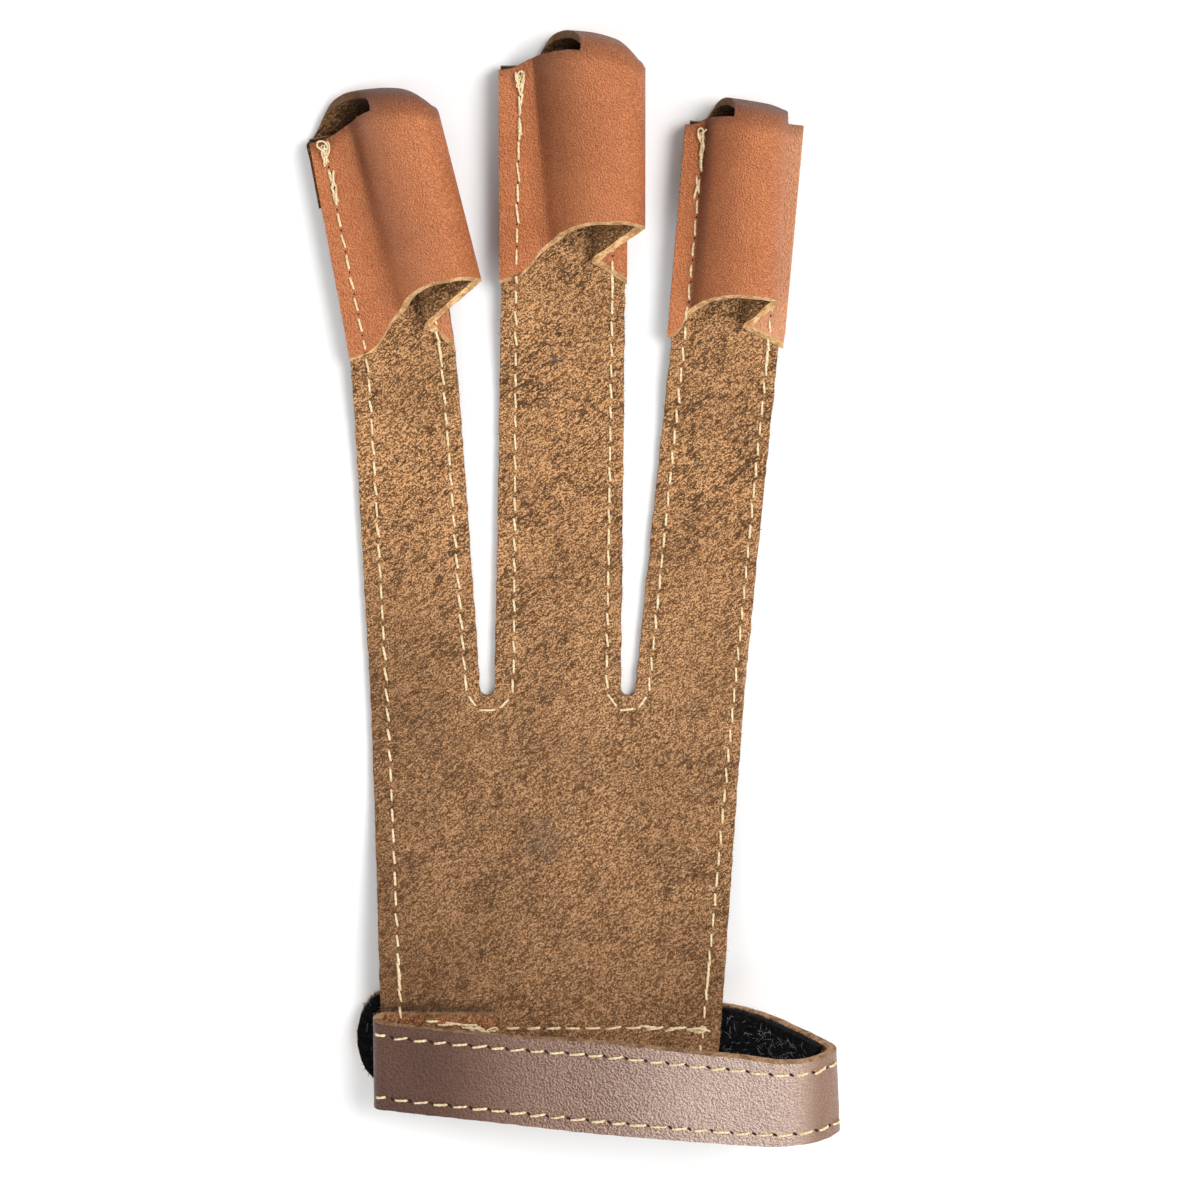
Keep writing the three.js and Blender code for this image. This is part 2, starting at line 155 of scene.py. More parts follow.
palmWidth = sum(f["rootWidth"] for f in fingers) + 2 * panel["slotWidth"]
tapeLevel = leather["strap"] + leather["clearance"] + leather["tape"] / 2
patchLevel = tapeLevel + leather["tape"] / 2 + leather["clearance"] + leather["patch"] / 2
heelLift = patchLevel + leather["patch"] / 2 + leather["clearance"]
tipLift = leather["stall"] + leather["clearance"]
startLevel = heelLift + leather["panel"] + leather["clearance"] + leather["strap"] / 2


def panelEdge(y, side):
    wristX = panel["wristShift"] + side * panel["wristWidth"] / 2
    return lerp(wristX, side * palmWidth / 2, 1 + y / panel["palmLength"])


strap = {
    "width": 20.8, "cover": 1.8, "sewnLength": 25.4, "foldRadius": 1.6, "foldReach": 1.9,
    "foldTurn": 162, "loopReach": 23.6, "loopHeight": 39.9, "loopTilt": 5.0, "loopSplay": 1.4,
    "tabReach": 5.8, "tabRound": 7.0, "tabShift": 3.1, "landing": 0.715,
    "cell": 0.7, "columns": 28, "seamInset": 2.9, "trim": 1.15,
}

strapMiddle = strap["width"] / 2 - panel["palmLength"] - strap["cover"]
foldCentre = panelEdge(strapMiddle, -1) + strap["foldRadius"] + leather["strap"] / 2 - strap["foldReach"]
loopSpan = panelEdge(strapMiddle, 1) + strap["loopReach"] - foldCentre
floorStart = foldCentre + strap["landing"] * loopSpan
tabEnd = panelEdge(strapMiddle, -1) - strap["tabReach"]
startCut = foldCentre + strap["foldRadius"] - strap["foldReach"] + strap["sewnLength"]

# The glove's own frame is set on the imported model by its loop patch
patchLow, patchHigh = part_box("loop_patch")
patchCentre = (panelEdge(strapMiddle, -1) + panelEdge(strapMiddle, 1)) / 2
gloveShift = (patchLow + patchHigh) / 2 / mm - Vector((patchCentre, strapMiddle, patchLevel))


def inFrame(point):
    return (point + gloveShift) * mm


def palmLift(y):
    flatEnd = panel["heelFlat"] - panel["palmLength"]
    return heelLift * (1 - ease(y, flatEnd, flatEnd + panel["heelRise"]))


def stripLift(finger, along):
    length = finger["stripLength"]
    return tipLift * ease(along, length - panel["tipRise"], length - panel["tipLevel"])


def rootCentre(index):
    before = sum(f["rootWidth"] + panel["slotWidth"] for f in fingers[:index])
    return before - palmWidth / 2 + fingers[index]["rootWidth"] / 2


kneeSpan = 8  # a strip bends into its stall over this length each side of the mouth


# Place in plan on a finger: along its bent centre line, and square to it by aside
def fingerPlan(index, along, aside):
    finger = fingers[index]
    lean, stallLean = math.radians(finger["lean"]), math.radians(finger["stallLean"])
    past = along - finger["stripLength"]
    upper = max(past, 0)
    if abs(past) < kneeSpan:
        upper = (past + kneeSpan) ** 2 / (4 * kneeSpan)
    lower = along - upper
    turn = min(max((past + kneeSpan) / (2 * kneeSpan), 0), 1)
    side = lerp(lean, stallLean, turn) * ease(along, 0, 14)
    x = rootCentre(index) + lower * math.sin(lean) + upper * math.sin(stallLean) + aside * math.cos(side)
    y = lower * math.cos(lean) + upper * math.cos(stallLean) - aside * math.sin(side)
    return x, y


print("making the materials")


def makeNode(tree, kind, **values):
    new = tree.nodes.new(kind)
    for key, value in values.items():
        if key[0].islower():
            setattr(new, key, value)
        else:
            new.inputs[key].default_value = value
    return new


def wire(tree, *pairs):
    for out, into in pairs:
        tree.links.new(out, into)


def makeGroup(name, inputs, outputs):
    group = bpy.data.node_groups.new(name, "ShaderNodeTree")
    for socketName, kind, value in inputs:
        socket = group.interface.new_socket(name=socketName, in_out="INPUT", socket_type=kind)
        if value is not None:
            socket.default_value = value
    for socketName, kind in outputs:
        group.interface.new_socket(name=socketName, in_out="OUTPUT", socket_type=kind)
    return group, group.nodes.new("NodeGroupInput"), group.nodes.new("NodeGroupOutput")


def mathNode(tree, operation, a, b):
    new = tree.nodes.new("ShaderNodeMath")
    new.operation = operation
    for socket, value in zip(new.inputs, (a, b)):
        if isinstance(value, (int, float)):
            socket.default_value = value
        else:
            tree.links.new(value, socket)
    return new.outputs[0]


def times(tree, a, b):
    return mathNode(tree, "MULTIPLY", a, b)


def plus(tree, a, b):
    return mathNode(tree, "ADD", a, b)


def mixColour(tree, factor, a, b):
    new = tree.nodes.new("ShaderNodeMix")
    new.data_type = "RGBA"
    new.clamp_factor = True
    for socket, value in ((new.inputs[0], factor), (new.inputs[6], a), (new.inputs[7], b)):
        if isinstance(value, (int, float)):
            socket.default_value = value
        elif isinstance(value, tuple):
            socket.default_value = (*value, 1)
        else:
            tree.links.new(value, socket)
    return new.outputs[2]


def spread(tree, value, low, high, toLow=0.0, toHigh=1.0):
    new = makeNode(tree, "ShaderNodeMapRange", interpolation_type="SMOOTHSTEP")
    for key, number in zip(("From Min", "From Max", "To Min", "To Max"), (low, high, toLow, toHigh)):
        new.inputs[key].default_value = number
    tree.links.new(value, new.inputs["Value"])
    return new.outputs["Result"]


def noiseNode(tree, vector, scale, detail=3.0, roughness=0.55, distortion=0.0):
    new = makeNode(tree, "ShaderNodeTexNoise", Detail=detail, Roughness=roughness, Distortion=distortion)
    if isinstance(scale, (int, float)):
        new.inputs["Scale"].default_value = scale
    else:
        tree.links.new(scale, new.inputs["Scale"])
    tree.links.new(vector, new.inputs["Vector"])
    return new.outputs["Fac"]


# Napped flesh side: soft blotches, dark flecks and pale fibres that lie across the piece
def suedeGroup():
    group, start, end = makeGroup(
        "suedeNap",
        [("Vector", "NodeSocketVector", None), ("Dark", "NodeSocketColor", (0.1, 0.05, 0.02, 1)),
         ("Middle", "NodeSocketColor", (0.3, 0.17, 0.08, 1)),
         ("Light", "NodeSocketColor", (0.5, 0.3, 0.15, 1)),
         ("Fleck", "NodeSocketFloat", 0.5), ("Blotch", "NodeSocketFloat", 0.5)],
        [("Colour", "NodeSocketColor"), ("Height", "NodeSocketFloat")],
    )
    vector = start.outputs["Vector"]
    lay = makeNode(group, "ShaderNodeMapping", vector_type="TEXTURE", Rotation=(0, 0, math.radians(38)),
                   Scale=(2.3, 1.0, 1.0))
    wire(group, (vector, lay.inputs["Vector"]))
    laid = lay.outputs["Vector"]
    streak = noiseNode(group, laid, 1900, 3, 0.65, 0.9)
    grain = noiseNode(group, vector, 2700, 2, 0.6, 0.2)
    tuft = noiseNode(group, laid, 1250, 3, 0.65, 1.2)
    drift = noiseNode(group, vector, 110, 2, 0.5, 0.3)
    blotch = noiseNode(group, vector, 36, 4, 0.58, 0.4)
    light = plus(group, times(group, streak, 0.45), times(group, grain, 0.55))
    base = mixColour(group, spread(group, light, 0.445, 0.565), start.outputs["Middle"],
                     start.outputs["Light"])
    spark = times(group, spread(group, grain, 0.59, 0.70), 0.6)
    base = mixColour(group, spark, base, (0.85, 0.60, 0.36))
    nap = plus(group, times(group, tuft, 0.75), times(group, drift, 0.25))
    flecked = times(group, spread(group, nap, 0.470, 0.400), start.outputs["Fleck"])
    base = mixColour(group, flecked, base, start.outputs["Dark"])
    blotchMask = times(group, spread(group, blotch, 0.60, 0.36), start.outputs["Blotch"])
    base = mixColour(group, times(group, blotchMask, 0.26), base, start.outputs["Dark"])
    height = mathNode(group, "SUBTRACT", light, times(group, flecked, 0.25))
    wire(group, (base, end.inputs["Colour"]), (height, end.inputs["Height"]))
    return group


# Smooth grain side: small round pebbles with soft furrows between them; their tops are lit from one
# side, by the difference between the grain and the same grain a little aside
def grainGroup():
    group, start, end = makeGroup(
        "leatherGrain",
        [("Vector", "NodeSocketVector", None), ("Scale", "NodeSocketFloat", 1900.0)],
        [("Height", "NodeSocketFloat"), ("Tops", "NodeSocketFloat"), ("Cloud", "NodeSocketFloat")],
    )
    vector, scale = start.outputs["Vector"], start.outputs["Scale"]
    warp = makeNode(group, "ShaderNodeTexNoise", Scale=700.0, Detail=2.0)
    push = makeNode(group, "ShaderNodeVectorMath", operation="MULTIPLY_ADD")
    push.inputs[1].default_value = (0.0009, 0.0009, 0.0009)
    wire(group, (vector, warp.inputs["Vector"]), (warp.outputs["Color"], push.inputs[0]),
         (vector, push.inputs[2]))
    cells = makeNode(group, "ShaderNodeTexVoronoi", feature="SMOOTH_F1", Smoothness=0.25, Randomness=1.0)
    wire(group, (push.outputs[0], cells.inputs["Vector"]), (scale, cells.inputs["Scale"]))
    pebble = spread(group, cells.outputs["Distance"], 0.70, 0.0)
    fine = noiseNode(group, vector, scale, 2, 0.6)
    cloud = noiseNode(group, vector, 60, 4, 0.6, 0.3)
    tops = plus(group, times(group, pebble, 0.30), times(group, fine, 0.70))
    aside = makeNode(group, "ShaderNodeVectorMath", operation="ADD")
    aside.inputs[1].default_value = (0.00010, 0.00008, 0.00003)
    wire(group, (vector, aside.inputs[0]))
    slope = mathNode(group, "SUBTRACT", fine, noiseNode(group, aside.outputs[0], scale, 2, 0.6))
    relief = plus(group, times(group, slope, 1.3), times(group, tops, 0.5))
    wire(group, (tops, end.inputs["Height"]), (spread(group, relief, 0.08, 0.36), end.inputs["Tops"]),
         (cloud, end.inputs["Cloud"]))
    return group


# Cut edge of leather: pressed layers of fibre with ragged dark gaps
def fibreGroup():
    group, start, end = makeGroup(
        "cutFibres",
        [("Vector", "NodeSocketVector", None), ("Light", "NodeSocketColor", (0.6, 0.4, 0.2, 1)),
         ("Dark", "NodeSocketColor", (0.2, 0.1, 0.04, 1))],
        [("Colour", "NodeSocketColor"), ("Height", "NodeSocketFloat")],
    )
    vector = start.outputs["Vector"]
    coarse = noiseNode(group, vector, 420, 4, 0.65, 0.5)
    fine = noiseNode(group, vector, 1900, 3, 0.7)
    both = plus(group, times(group, coarse, 0.6), times(group, fine, 0.4))
    colour = mixColour(group, spread(group, both, 0.40, 0.60), start.outputs["Dark"], start.outputs["Light"])
    wire(group, (colour, end.inputs["Colour"]), (both, end.inputs["Height"]))
    return group


shared = {"suede": suedeGroup(), "grain": grainGroup(), "fibres": fibreGroup()}


def startMaterial(name, roughness, specular=0.5, sheen=0.0, sheenTint=(1, 1, 1)):
    made = bpy.data.materials.new(name)
    made.use_nodes = True
    tree = made.node_tree
    surface = tree.nodes["Principled BSDF"]
    surface.inputs["Roughness"].default_value = roughness
    surface.inputs["Specular IOR Level"].default_value = specular
    surface.inputs["Sheen Weight"].default_value = sheen
    surface.inputs["Sheen Roughness"].default_value = 0.45
    surface.inputs["Sheen Tint"].default_value = (*sheenTint, 1)
    where = tree.nodes.new("ShaderNodeTexCoord").outputs["Object"]
    return made, tree, surface, where


def placeGroup(tree, key, where, **values):
    new = tree.nodes.new("ShaderNodeGroup")
    new.node_tree = shared[key]
    wire(tree, (where, new.inputs["Vector"]))
    for name, value in values.items():
        new.inputs[name].default_value = (*value, 1) if isinstance(value, tuple) else value
    return new


# Colour of a material, and its relief with a depth in metres
def paint(tree, surface, colour, height=None, depth=0, strength=1.0):
    wire(tree, (colour, surface.inputs["Base Color"]))
    if height is not None:
        bump = makeNode(tree, "ShaderNodeBump", Strength=strength, Distance=depth)
        wire(tree, (height, bump.inputs["Height"]), (bump.outputs["Normal"], surface.inputs["Normal"]))


def readMask(tree, name):
    return makeNode(tree, "ShaderNodeAttribute", attribute_name=name).outputs["Fac"]


# Mask round one spot of the glove, in its own millimetres
def spotMask(tree, where, x, y, reach, ragged):
    spot = inFrame(Vector((x, y, leather["panel"])))
    away = makeNode(tree, "ShaderNodeVectorMath", operation="DISTANCE")
    away.inputs[1].default_value = spot
    wire(tree, (where, away.inputs[0]))
    rough = noiseNode(tree, where, 1.6 / (reach * mm), 3, 0.6)
    edge = times(tree, mathNode(tree, "SUBTRACT", rough, 0.5), 2 * ragged * reach * mm)
    return spread(tree, plus(tree, away.outputs["Value"], edge), reach * mm, reach * mm * 0.35)


# Colours are pairs where they go from the palm to the fingers; spots have x, y, reach and raggedness
panelTan = {
    "dark": (0.055, 0.022, 0.007), "middle": ((0.165, 0.075, 0.028), (0.135, 0.059, 0.020)),
    "light": ((0.58, 0.314, 0.152), (0.74, 0.390, 0.175)), "warm": (0.80, 0.40, 0.16),
    "shade": (0.070, 0.027, 0.010), "strapShadow": (0.050, 0.024, 0.010), "tip": (0.018, 0.010, 0.006),
    "spot": ((-0.6, 72.0, 2.0, 0.7), (0.020, 0.026, 0.040)),
    "smudge": ((-3.2, -33.5, 6.0, 1.0), (0.070, 0.062, 0.055)),
}


def panelSuede():
    made, tree, surface, where = startMaterial("panel_suede", 0.95, 0.15, 0.1, (1.0, 0.8, 0.6))
    nap = placeGroup(tree, "suede", where, Dark=panelTan["dark"], Blotch=0.8)
    parts = tree.nodes.new("ShaderNodeSeparateXYZ")
    wire(tree, (where, parts.inputs[0]))
    upper = spread(tree, parts.outputs["Y"], -0.045, 0.030)
    wire(tree, (plus(tree, times(tree, upper, 0.35), 0.62), nap.inputs["Fleck"]))
    wire(tree, (mixColour(tree, upper, *panelTan["middle"]), nap.inputs["Middle"]),
         (mixColour(tree, upper, *panelTan["light"]), nap.inputs["Light"]))
    colour = mixColour(tree, times(tree, upper, 0.05), nap.outputs["Colour"], panelTan["warm"])
    corner = times(tree, spread(tree, parts.outputs["X"], -0.012, -0.044),
                   spread(tree, parts.outputs["Y"], 0.020, -0.050))
    lower = plus(tree, spread(tree, parts.outputs["Y"], -0.045, -0.105), corner)
    colour = mixColour(tree, times(tree, lower, 0.30), colour, panelTan["shade"])
    for key, share in (("spot", 0.9), ("smudge", 0.38)):
        place, tone = panelTan[key]
        colour = mixColour(tree, times(tree, spotMask(tree, where, *place), share), colour, tone)
    # Painted shadow on the suede along the far edge of the strap's sewn start
    cut = inFrame(Vector((startCut, strapMiddle + strap["width"] / 2, 0)))
    under = times(tree, spread(tree, parts.outputs["Y"], cut.y + 2.8 * mm, cut.y + 0.4 * mm),
                  spread(tree, parts.outputs["X"], cut.x + 0.5 * mm, cut.x - 3 * mm))
    colour = mixColour(tree, times(tree, under, 0.62), colour, panelTan["strapShadow"])
    colour = mixColour(tree, readMask(tree, "tip"), colour, panelTan["tip"])
    paint(tree, surface, colour, nap.outputs["Height"], 0.0009)
    return made


def innerSuede(name, dark, middle, light, shaded=False):
    made, tree, surface, where = startMaterial(name, 0.95, 0.12, 0.05, (1.0, 0.8, 0.6))
    nap = placeGroup(tree, "suede", where, Dark=dark, Middle=middle, Light=light, Fleck=0.8, Blotch=0.7)
    colour = nap.outputs["Colour"]
    if shaded:
        colour = mixColour(tree, readMask(tree, "depth"), colour, (0.016, 0.007, 0.003))
    paint(tree, surface, colour, nap.outputs["Height"], 0.0007)
    return made


def cutEdge(name, dark, light, mouthOnly=False):
    made, tree, surface, where = startMaterial(name, 0.85, 0.2, 0.05)
    fibres = placeGroup(tree, "fibres", where, Dark=dark, Light=light)
    colour = fibres.outputs["Colour"]
    if mouthOnly:
        dull = mixColour(tree, 0.88, colour, (0.070, 0.028, 0.012))
        colour = mixColour(tree, readMask(tree, "mouth"), dull, colour)
    paint(tree, surface, colour, fibres.outputs["Height"], 0.0005)
    return made


# Clouded base colour of a grain leather
def cloudTone(tree, grain, tones):
    return mixColour(tree, spread(tree, grain.outputs["Cloud"], 0.3, 0.7), tones["deep"], tones["pale"])


# The same with its furrows shaded and the tops of its pebbles lit: painted light and shade on the grain
def grainTone(tree, grain, colour, tones):
    low = mixColour(tree, tones["furrowShare"], colour, tones["furrow"])
    high = mixColour(tree, tones["topShare"], colour, tones["top"])
    return mixColour(tree, grain.outputs["Tops"], low, high)


stallTan = {
    "grain": 2750.0, "deep": (0.492, 0.146, 0.050), "pale": (0.588, 0.190, 0.072),
    "furrow": (0.190, 0.042, 0.009), "furrowShare": 0.44, "top": (0.92, 0.48, 0.22), "topShare": 0.20,
    "lit": (0.80, 0.42, 0.24), "highlight": (0.34, 0.170, 0.125), "crease": (0.105, 0.030, 0.012),
    "sheen": (0.120, 0.038, 0.018),
}


def stallLeather():
    made, tree, surface, where = startMaterial("stall_leather", 0.48, 0.28)
    grain = placeGroup(tree, "grain", where, Scale=stallTan["grain"])
    colour = grainTone(tree, grain, cloudTone(tree, grain, stallTan), stallTan)
    # Painted light and shade on the stall: the lit right flange, a reflection stripe, the shaded crease, and
    # sheen with shade on the tip fold
    for mask in ("lit", "highlight", "crease", "sheen"):
        colour = mixColour(tree, readMask(tree, mask), colour, stallTan[mask])
    wire(tree, (spread(tree, grain.outputs["Tops"], 0, 1, 0.55, 0.42), surface.inputs["Roughness"]))
    paint(tree, surface, colour, grain.outputs["Height"], 0.0007)
    return made


# Strap colours: the along colours are painted light and shade by x, darker at the left, a painted highlight
# where the loop turns, less light past it, and a painted highlight on the fold at the far left
strapBrown = {
    "grain": 1850.0, "deep": (0.054, 0.014, 0.004), "pale": (0.068, 0.020, 0.007),
    "furrow": (0.040, 0.018, 0.010), "furrowShare": 0.52, "top": (0.94, 0.80, 0.72), "topShare": 0.31,
    "along": [(-0.034, 0.008, (0.288, 0.138, 0.082)), (0.002, 0.032, (0.680, 0.480, 0.390)),
              (0.042, 0.053, (0.215, 0.116, 0.074)), (-0.042, -0.048, (0.185, 0.118, 0.092))],
}  # along: from x to x in metres, and the colour there


def strapLeather(name, lightSide):
    made, tree, surface, where = startMaterial(name, 0.4, 0.26)
    grain = placeGroup(tree, "grain", where, Scale=strapBrown["grain"])
    colour = cloudTone(tree, grain, strapBrown)
    rough, height = 0.3, grain.outputs["Height"]  # rough: how much of the grain shows
    if lightSide:
        parts = tree.nodes.new("ShaderNodeSeparateXYZ")
        wire(tree, (where, parts.inputs[0]))
        across = parts.outputs["X"]
        # Painted light and shade along the strap by x
        for start, end, tone in strapBrown["along"]:
            colour = mixColour(tree, spread(tree, across, start, end), colour, tone)
        rough = times(tree, spread(tree, across, -0.030, 0.008, 0.14, 1),
                      spread(tree, across, 0.052, 0.042, 0.15, 1))
        height = times(tree, height, rough)
    colour = mixColour(tree, rough, colour, grainTone(tree, grain, colour, strapBrown))
    wire(tree, (spread(tree, grain.outputs["Tops"], 0, 1, 0.50, 0.36), surface.inputs["Roughness"]))
    paint(tree, surface, colour, height, 0.0012)
    return made


def tapeFabric(name, tone):
    made, tree, surface, where = startMaterial(name, 0.95, 0.08, 0.04, (0.8, 0.85, 1.0))
    pile = noiseNode(tree, where, 900, 3, 0.7, 0.4)
    colour = mixColour(tree, spread(tree, pile, 0.4, 0.7), (tone, tone, tone * 1.1),
                       (tone * 4.5, tone * 4.5, tone * 5.0))
    paint(tree, surface, colour, pile, 0.0007)
    return made


def threadYarn():
    made, tree, surface, where = startMaterial("thread", 0.62, 0.3, 0.2)
    strand = noiseNode(tree, where, 2400, 3, 0.7)
    colour = mixColour(tree, spread(tree, strand, 0.35, 0.65), (0.56, 0.40, 0.20), (0.90, 0.75, 0.49))
    paint(tree, surface, colour, strand, 0.00012, 0.8)
    return made


def plainYarn(name, colourLow, colourHigh, roughness):
    made, tree, surface, where = startMaterial(name, roughness, 0.2)
    strand = noiseNode(tree, where, 1500, 2, 0.6)
    paint(tree, surface, mixColour(tree, spread(tree, strand, 0.35, 0.65), colourLow, colourHigh))
    return made


skins = {
    "panelSuede": panelSuede(),
    "panelBack": strapLeather("panel_back_leather", False),
    "panelEdge": cutEdge("panel_edge", (0.10, 0.050, 0.018), (0.33, 0.195, 0.095)),
    "stall": stallLeather(),
    "stallSuede": innerSuede("stall_suede", (0.040, 0.016, 0.006), (0.120, 0.052, 0.018),
                             (0.30, 0.150, 0.060), shaded=True),
    "stallEdge": cutEdge("stall_edge", (0.42, 0.200, 0.070), (0.82, 0.54, 0.27), mouthOnly=True),
    "strap": strapLeather("strap_leather", True),
    "strapSuede": innerSuede("strap_suede", (0.080, 0.026, 0.010), (0.200, 0.078, 0.029),
                             (0.42, 0.185, 0.078)),
    "strapEdge": cutEdge("strap_edge", (0.15, 0.072, 0.030), (0.42, 0.250, 0.130)),
    "tape": tapeFabric("hook_tape_fabric", 0.0022),
    "patch": tapeFabric("loop_tape_fabric", 0.006),
    "thread": threadYarn(),
    "hole": plainYarn("needle_hole", (0.018, 0.009, 0.005), (0.040, 0.020, 0.011), 0.9),
    "lint": plainYarn("lint", (0.25, 0.25, 0.27), (0.62, 0.62, 0.65), 0.8),
    "hooks": plainYarn("hooks", (0.004, 0.004, 0.005), (0.016, 0.016, 0.019), 0.55),
    "nap": plainYarn("nap_fibre", (0.30, 0.175, 0.085), (0.55, 0.37, 0.21), 0.85),
}


print("cutting and bending the leather")


# A flat grid, cut to the pattern; each corner keeps its column and row
def cutBlank(name, columns, rows, isCut):
    bpy.ops.object.select_all(action="DESELECT")
    bpy.ops.mesh.primitive_grid_add(x_subdivisions=columns, y_subdivisions=rows, size=2)
    blank = bpy.context.object
    blank.name = name
    blank.data.name = name
    bpy.ops.object.mode_set(mode="EDIT")
    bpy.ops.mesh.select_mode(type="VERT")
    bpy.ops.mesh.select_all(action="DESELECT")
    bpy.ops.object.mode_set(mode="OBJECT")
    spots = blank.data.attributes.new("spot", "FLOAT_VECTOR", "POINT").data
    for vertex in blank.data.vertices:
        column = round((vertex.co.x + 1) / 2 * columns)
        row = round((vertex.co.y + 1) / 2 * rows)
        spots[vertex.index].vector = (column, row, 0)
        vertex.select = isCut(column, row)
    bpy.ops.object.mode_set(mode="EDIT")
    bpy.ops.mesh.delete(type="VERT")
    bpy.ops.object.mode_set(mode="OBJECT")
    return blank


# Slant the cut edge at a mouth, so that the upper face ends a little further in than the lower one
def slantMouth(mesh, reach, half):
    mouths = mesh.attributes["mouth"].data
    levels = mesh.attributes["level"].data
    for vertex in mesh.vertices:
        mouth = mouths[vertex.index].value
        if mouth > 0:
            above = (vertex.co.z - levels[vertex.index].value) / half
            vertex.co += reach * mm * mouth * max(above, 0) * Vector((0, 1, 0))


# Bend the blank into the grid of points, with masks for its colour and for painted light and shade, and give
# it its wall
def bendLeather(blank, points, thickness, skinNames, masks=None, roundOff=0.22, skive=0):
    mesh = blank.data
    spots = [tuple(int(round(n)) for n in item.vector) for item in mesh.attributes["spot"].data]
    mesh.attributes.remove(mesh.attributes["spot"])
    for vertex, (column, row, _) in zip(mesh.vertices, spots):
        vertex.co = inFrame(points[row][column])
    for name, valueAt in (masks or {}).items():
        values = mesh.attributes.new(name, "FLOAT", "POINT").data
        for item, (column, row, _) in zip(values, spots):
            item.value = valueAt(column, row)
    for skin in skinNames:
        mesh.materials.append(skins[skin])
    wall = blank.modifiers.new("wall", "SOLIDIFY")
    wall.thickness = thickness * mm
    wall.offset = 0
    wall.use_quality_normals = True
    wall.material_offset = 1
    wall.material_offset_rim = 2
    corner = blank.modifiers.new("corner", "BEVEL")
    corner.limit_method = "ANGLE"
    corner.angle_limit = math.radians(55)
    corner.width = roundOff * mm
    corner.segments = 2
    bpy.context.view_layer.objects.active = blank
    bpy.ops.object.modifier_apply(modifier="wall")
    if skive:
        slantMouth(mesh, skive, thickness / 2 * mm)
    bpy.ops.object.modifier_apply(modifier="corner")
    bpy.ops.object.select_all(action="DESELECT")
    blank.select_set(True)
    bpy.ops.object.shade_smooth_by_angle(angle=math.radians(48))
    return blank


def finishPiece(piece, slot, *nodes):
    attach(piece, "root")
    if nodes:
        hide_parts(*nodes)


# Back panel: three strips above the palm, parted by the slots
def makePanel():
    perFinger = round(panel["fingerSpan"] / panel["cell"])
    perSlot = panel["slotSteps"]
    palmRows = round(panel["palmLength"] / panel["cell"])
    stripRows = round(panel["stripSpan"] / panel["cell"])
    roots = []
    for index, finger in enumerate(fingers):
        for i in range(perFinger + 1):
            share = i / perFinger - 0.5
            roots.append((index, rootCentre(index) + share * finger["rootWidth"], 0, share))
        if index == len(fingers) - 1:
            break
        slotLeft = rootCentre(index) + finger["rootWidth"] / 2
        for i in range(1, perSlot):
            angle = math.pi * i / perSlot
            x = slotLeft + panel["slotWidth"] / 2 * (1 - math.cos(angle))
            roots.append((-1, x, panel["slotWidth"] / 2 * math.sin(angle), 0))
    points = []
    for row in range(palmRows + 1):
        share = row / palmRows
        line = []
        for index, x, dip, _ in roots:
            wristX = panel["wristShift"] + x / palmWidth * panel["wristWidth"]
            side = abs(x) * 2 / palmWidth
            y = -panel["palmLength"] * (1 - share) - dip * share**12
            wobble = panel["edgeWobble"] * ripple(y, x, 3.1, 3.4) * (side**24 + (1 - share) ** 40)
            lift = palmLift(y) + leather["panel"] / 2 + panel["swell"] * max(ripple(x, y, 5.0, 26), 0)
            line.append(Vector((lerp(wristX, x, share) + wobble, y + wobble * (1 - share) ** 40, lift)))
        points.append(line)
    for row in range(1, stripRows + 1):
        line = []
        for index, x, dip, share in roots:
            if index < 0:
                line.append(None)
                continue
            finger = fingers[index]
            reach = finger["stripLength"] + finger["stallLength"] + panel["pastStall"]
            along = reach * row / stripRows
            width = lerp(finger["rootWidth"], finger["stripWidth"], min(along / finger["stripLength"], 1))
            rough = panel["edgeWobble"] * ripple(along, index * 9 + math.copysign(2, share), 1.7, 2.6)
            aside = share * width + rough * abs(2 * share) ** 18
            px, py = fingerPlan(index, along, aside)
            swell = panel["swell"] * max(ripple(px, py, 5.0, 26), 0) * (1 - ease(along, 40, 60))
            line.append(Vector((px, py, stripLift(finger, along) + leather["panel"] / 2 + swell)))
        points.append(line)
    blank = cutBlank("back_panel_leather", len(roots) - 1, len(points) - 1,
                     lambda column, row: points[row][column] is None)
    tips = {"tip": lambda column, row: 0.9 * ease((row - palmRows) / stripRows, 0.97, 0.995)}
    bendLeather(blank, points, leather["panel"], ("panelSuede", "panelBack", "panelEdge"), tips)
    finishPiece(blank, "panel_suede", "back_panel")
    return blank


# Place of one fold on a stall, across its blank and up from its flanges, at a share of its length
def foldPoint(finger, fold, share):
    part, along, rise = fold[:3]
    crease = lerp(finger["leftFlange"], finger["tipFlange"], share)
    edge = finger["blankWidth"] + lerp(finger["overhang"], finger["tipOverhang"], share)
    turnRadius = 0.75 * leather["stall"]
    seam = finger["blankWidth"] - finger["rightFlange"]
    up = rise * finger["height"]
    if part == "leftFlange":
        return along * crease, up
    if part == "front":
        return lerp(crease, edge, along), up
    if part == "return":
        return lerp(edge, seam, along), up + 2 * turnRadius
    if part == "turn":
        angle = math.pi * along
        return seam - turnRadius * math.sin(angle), turnRadius * (1 + math.cos(angle))
    return lerp(seam, finger["blankWidth"], along), up


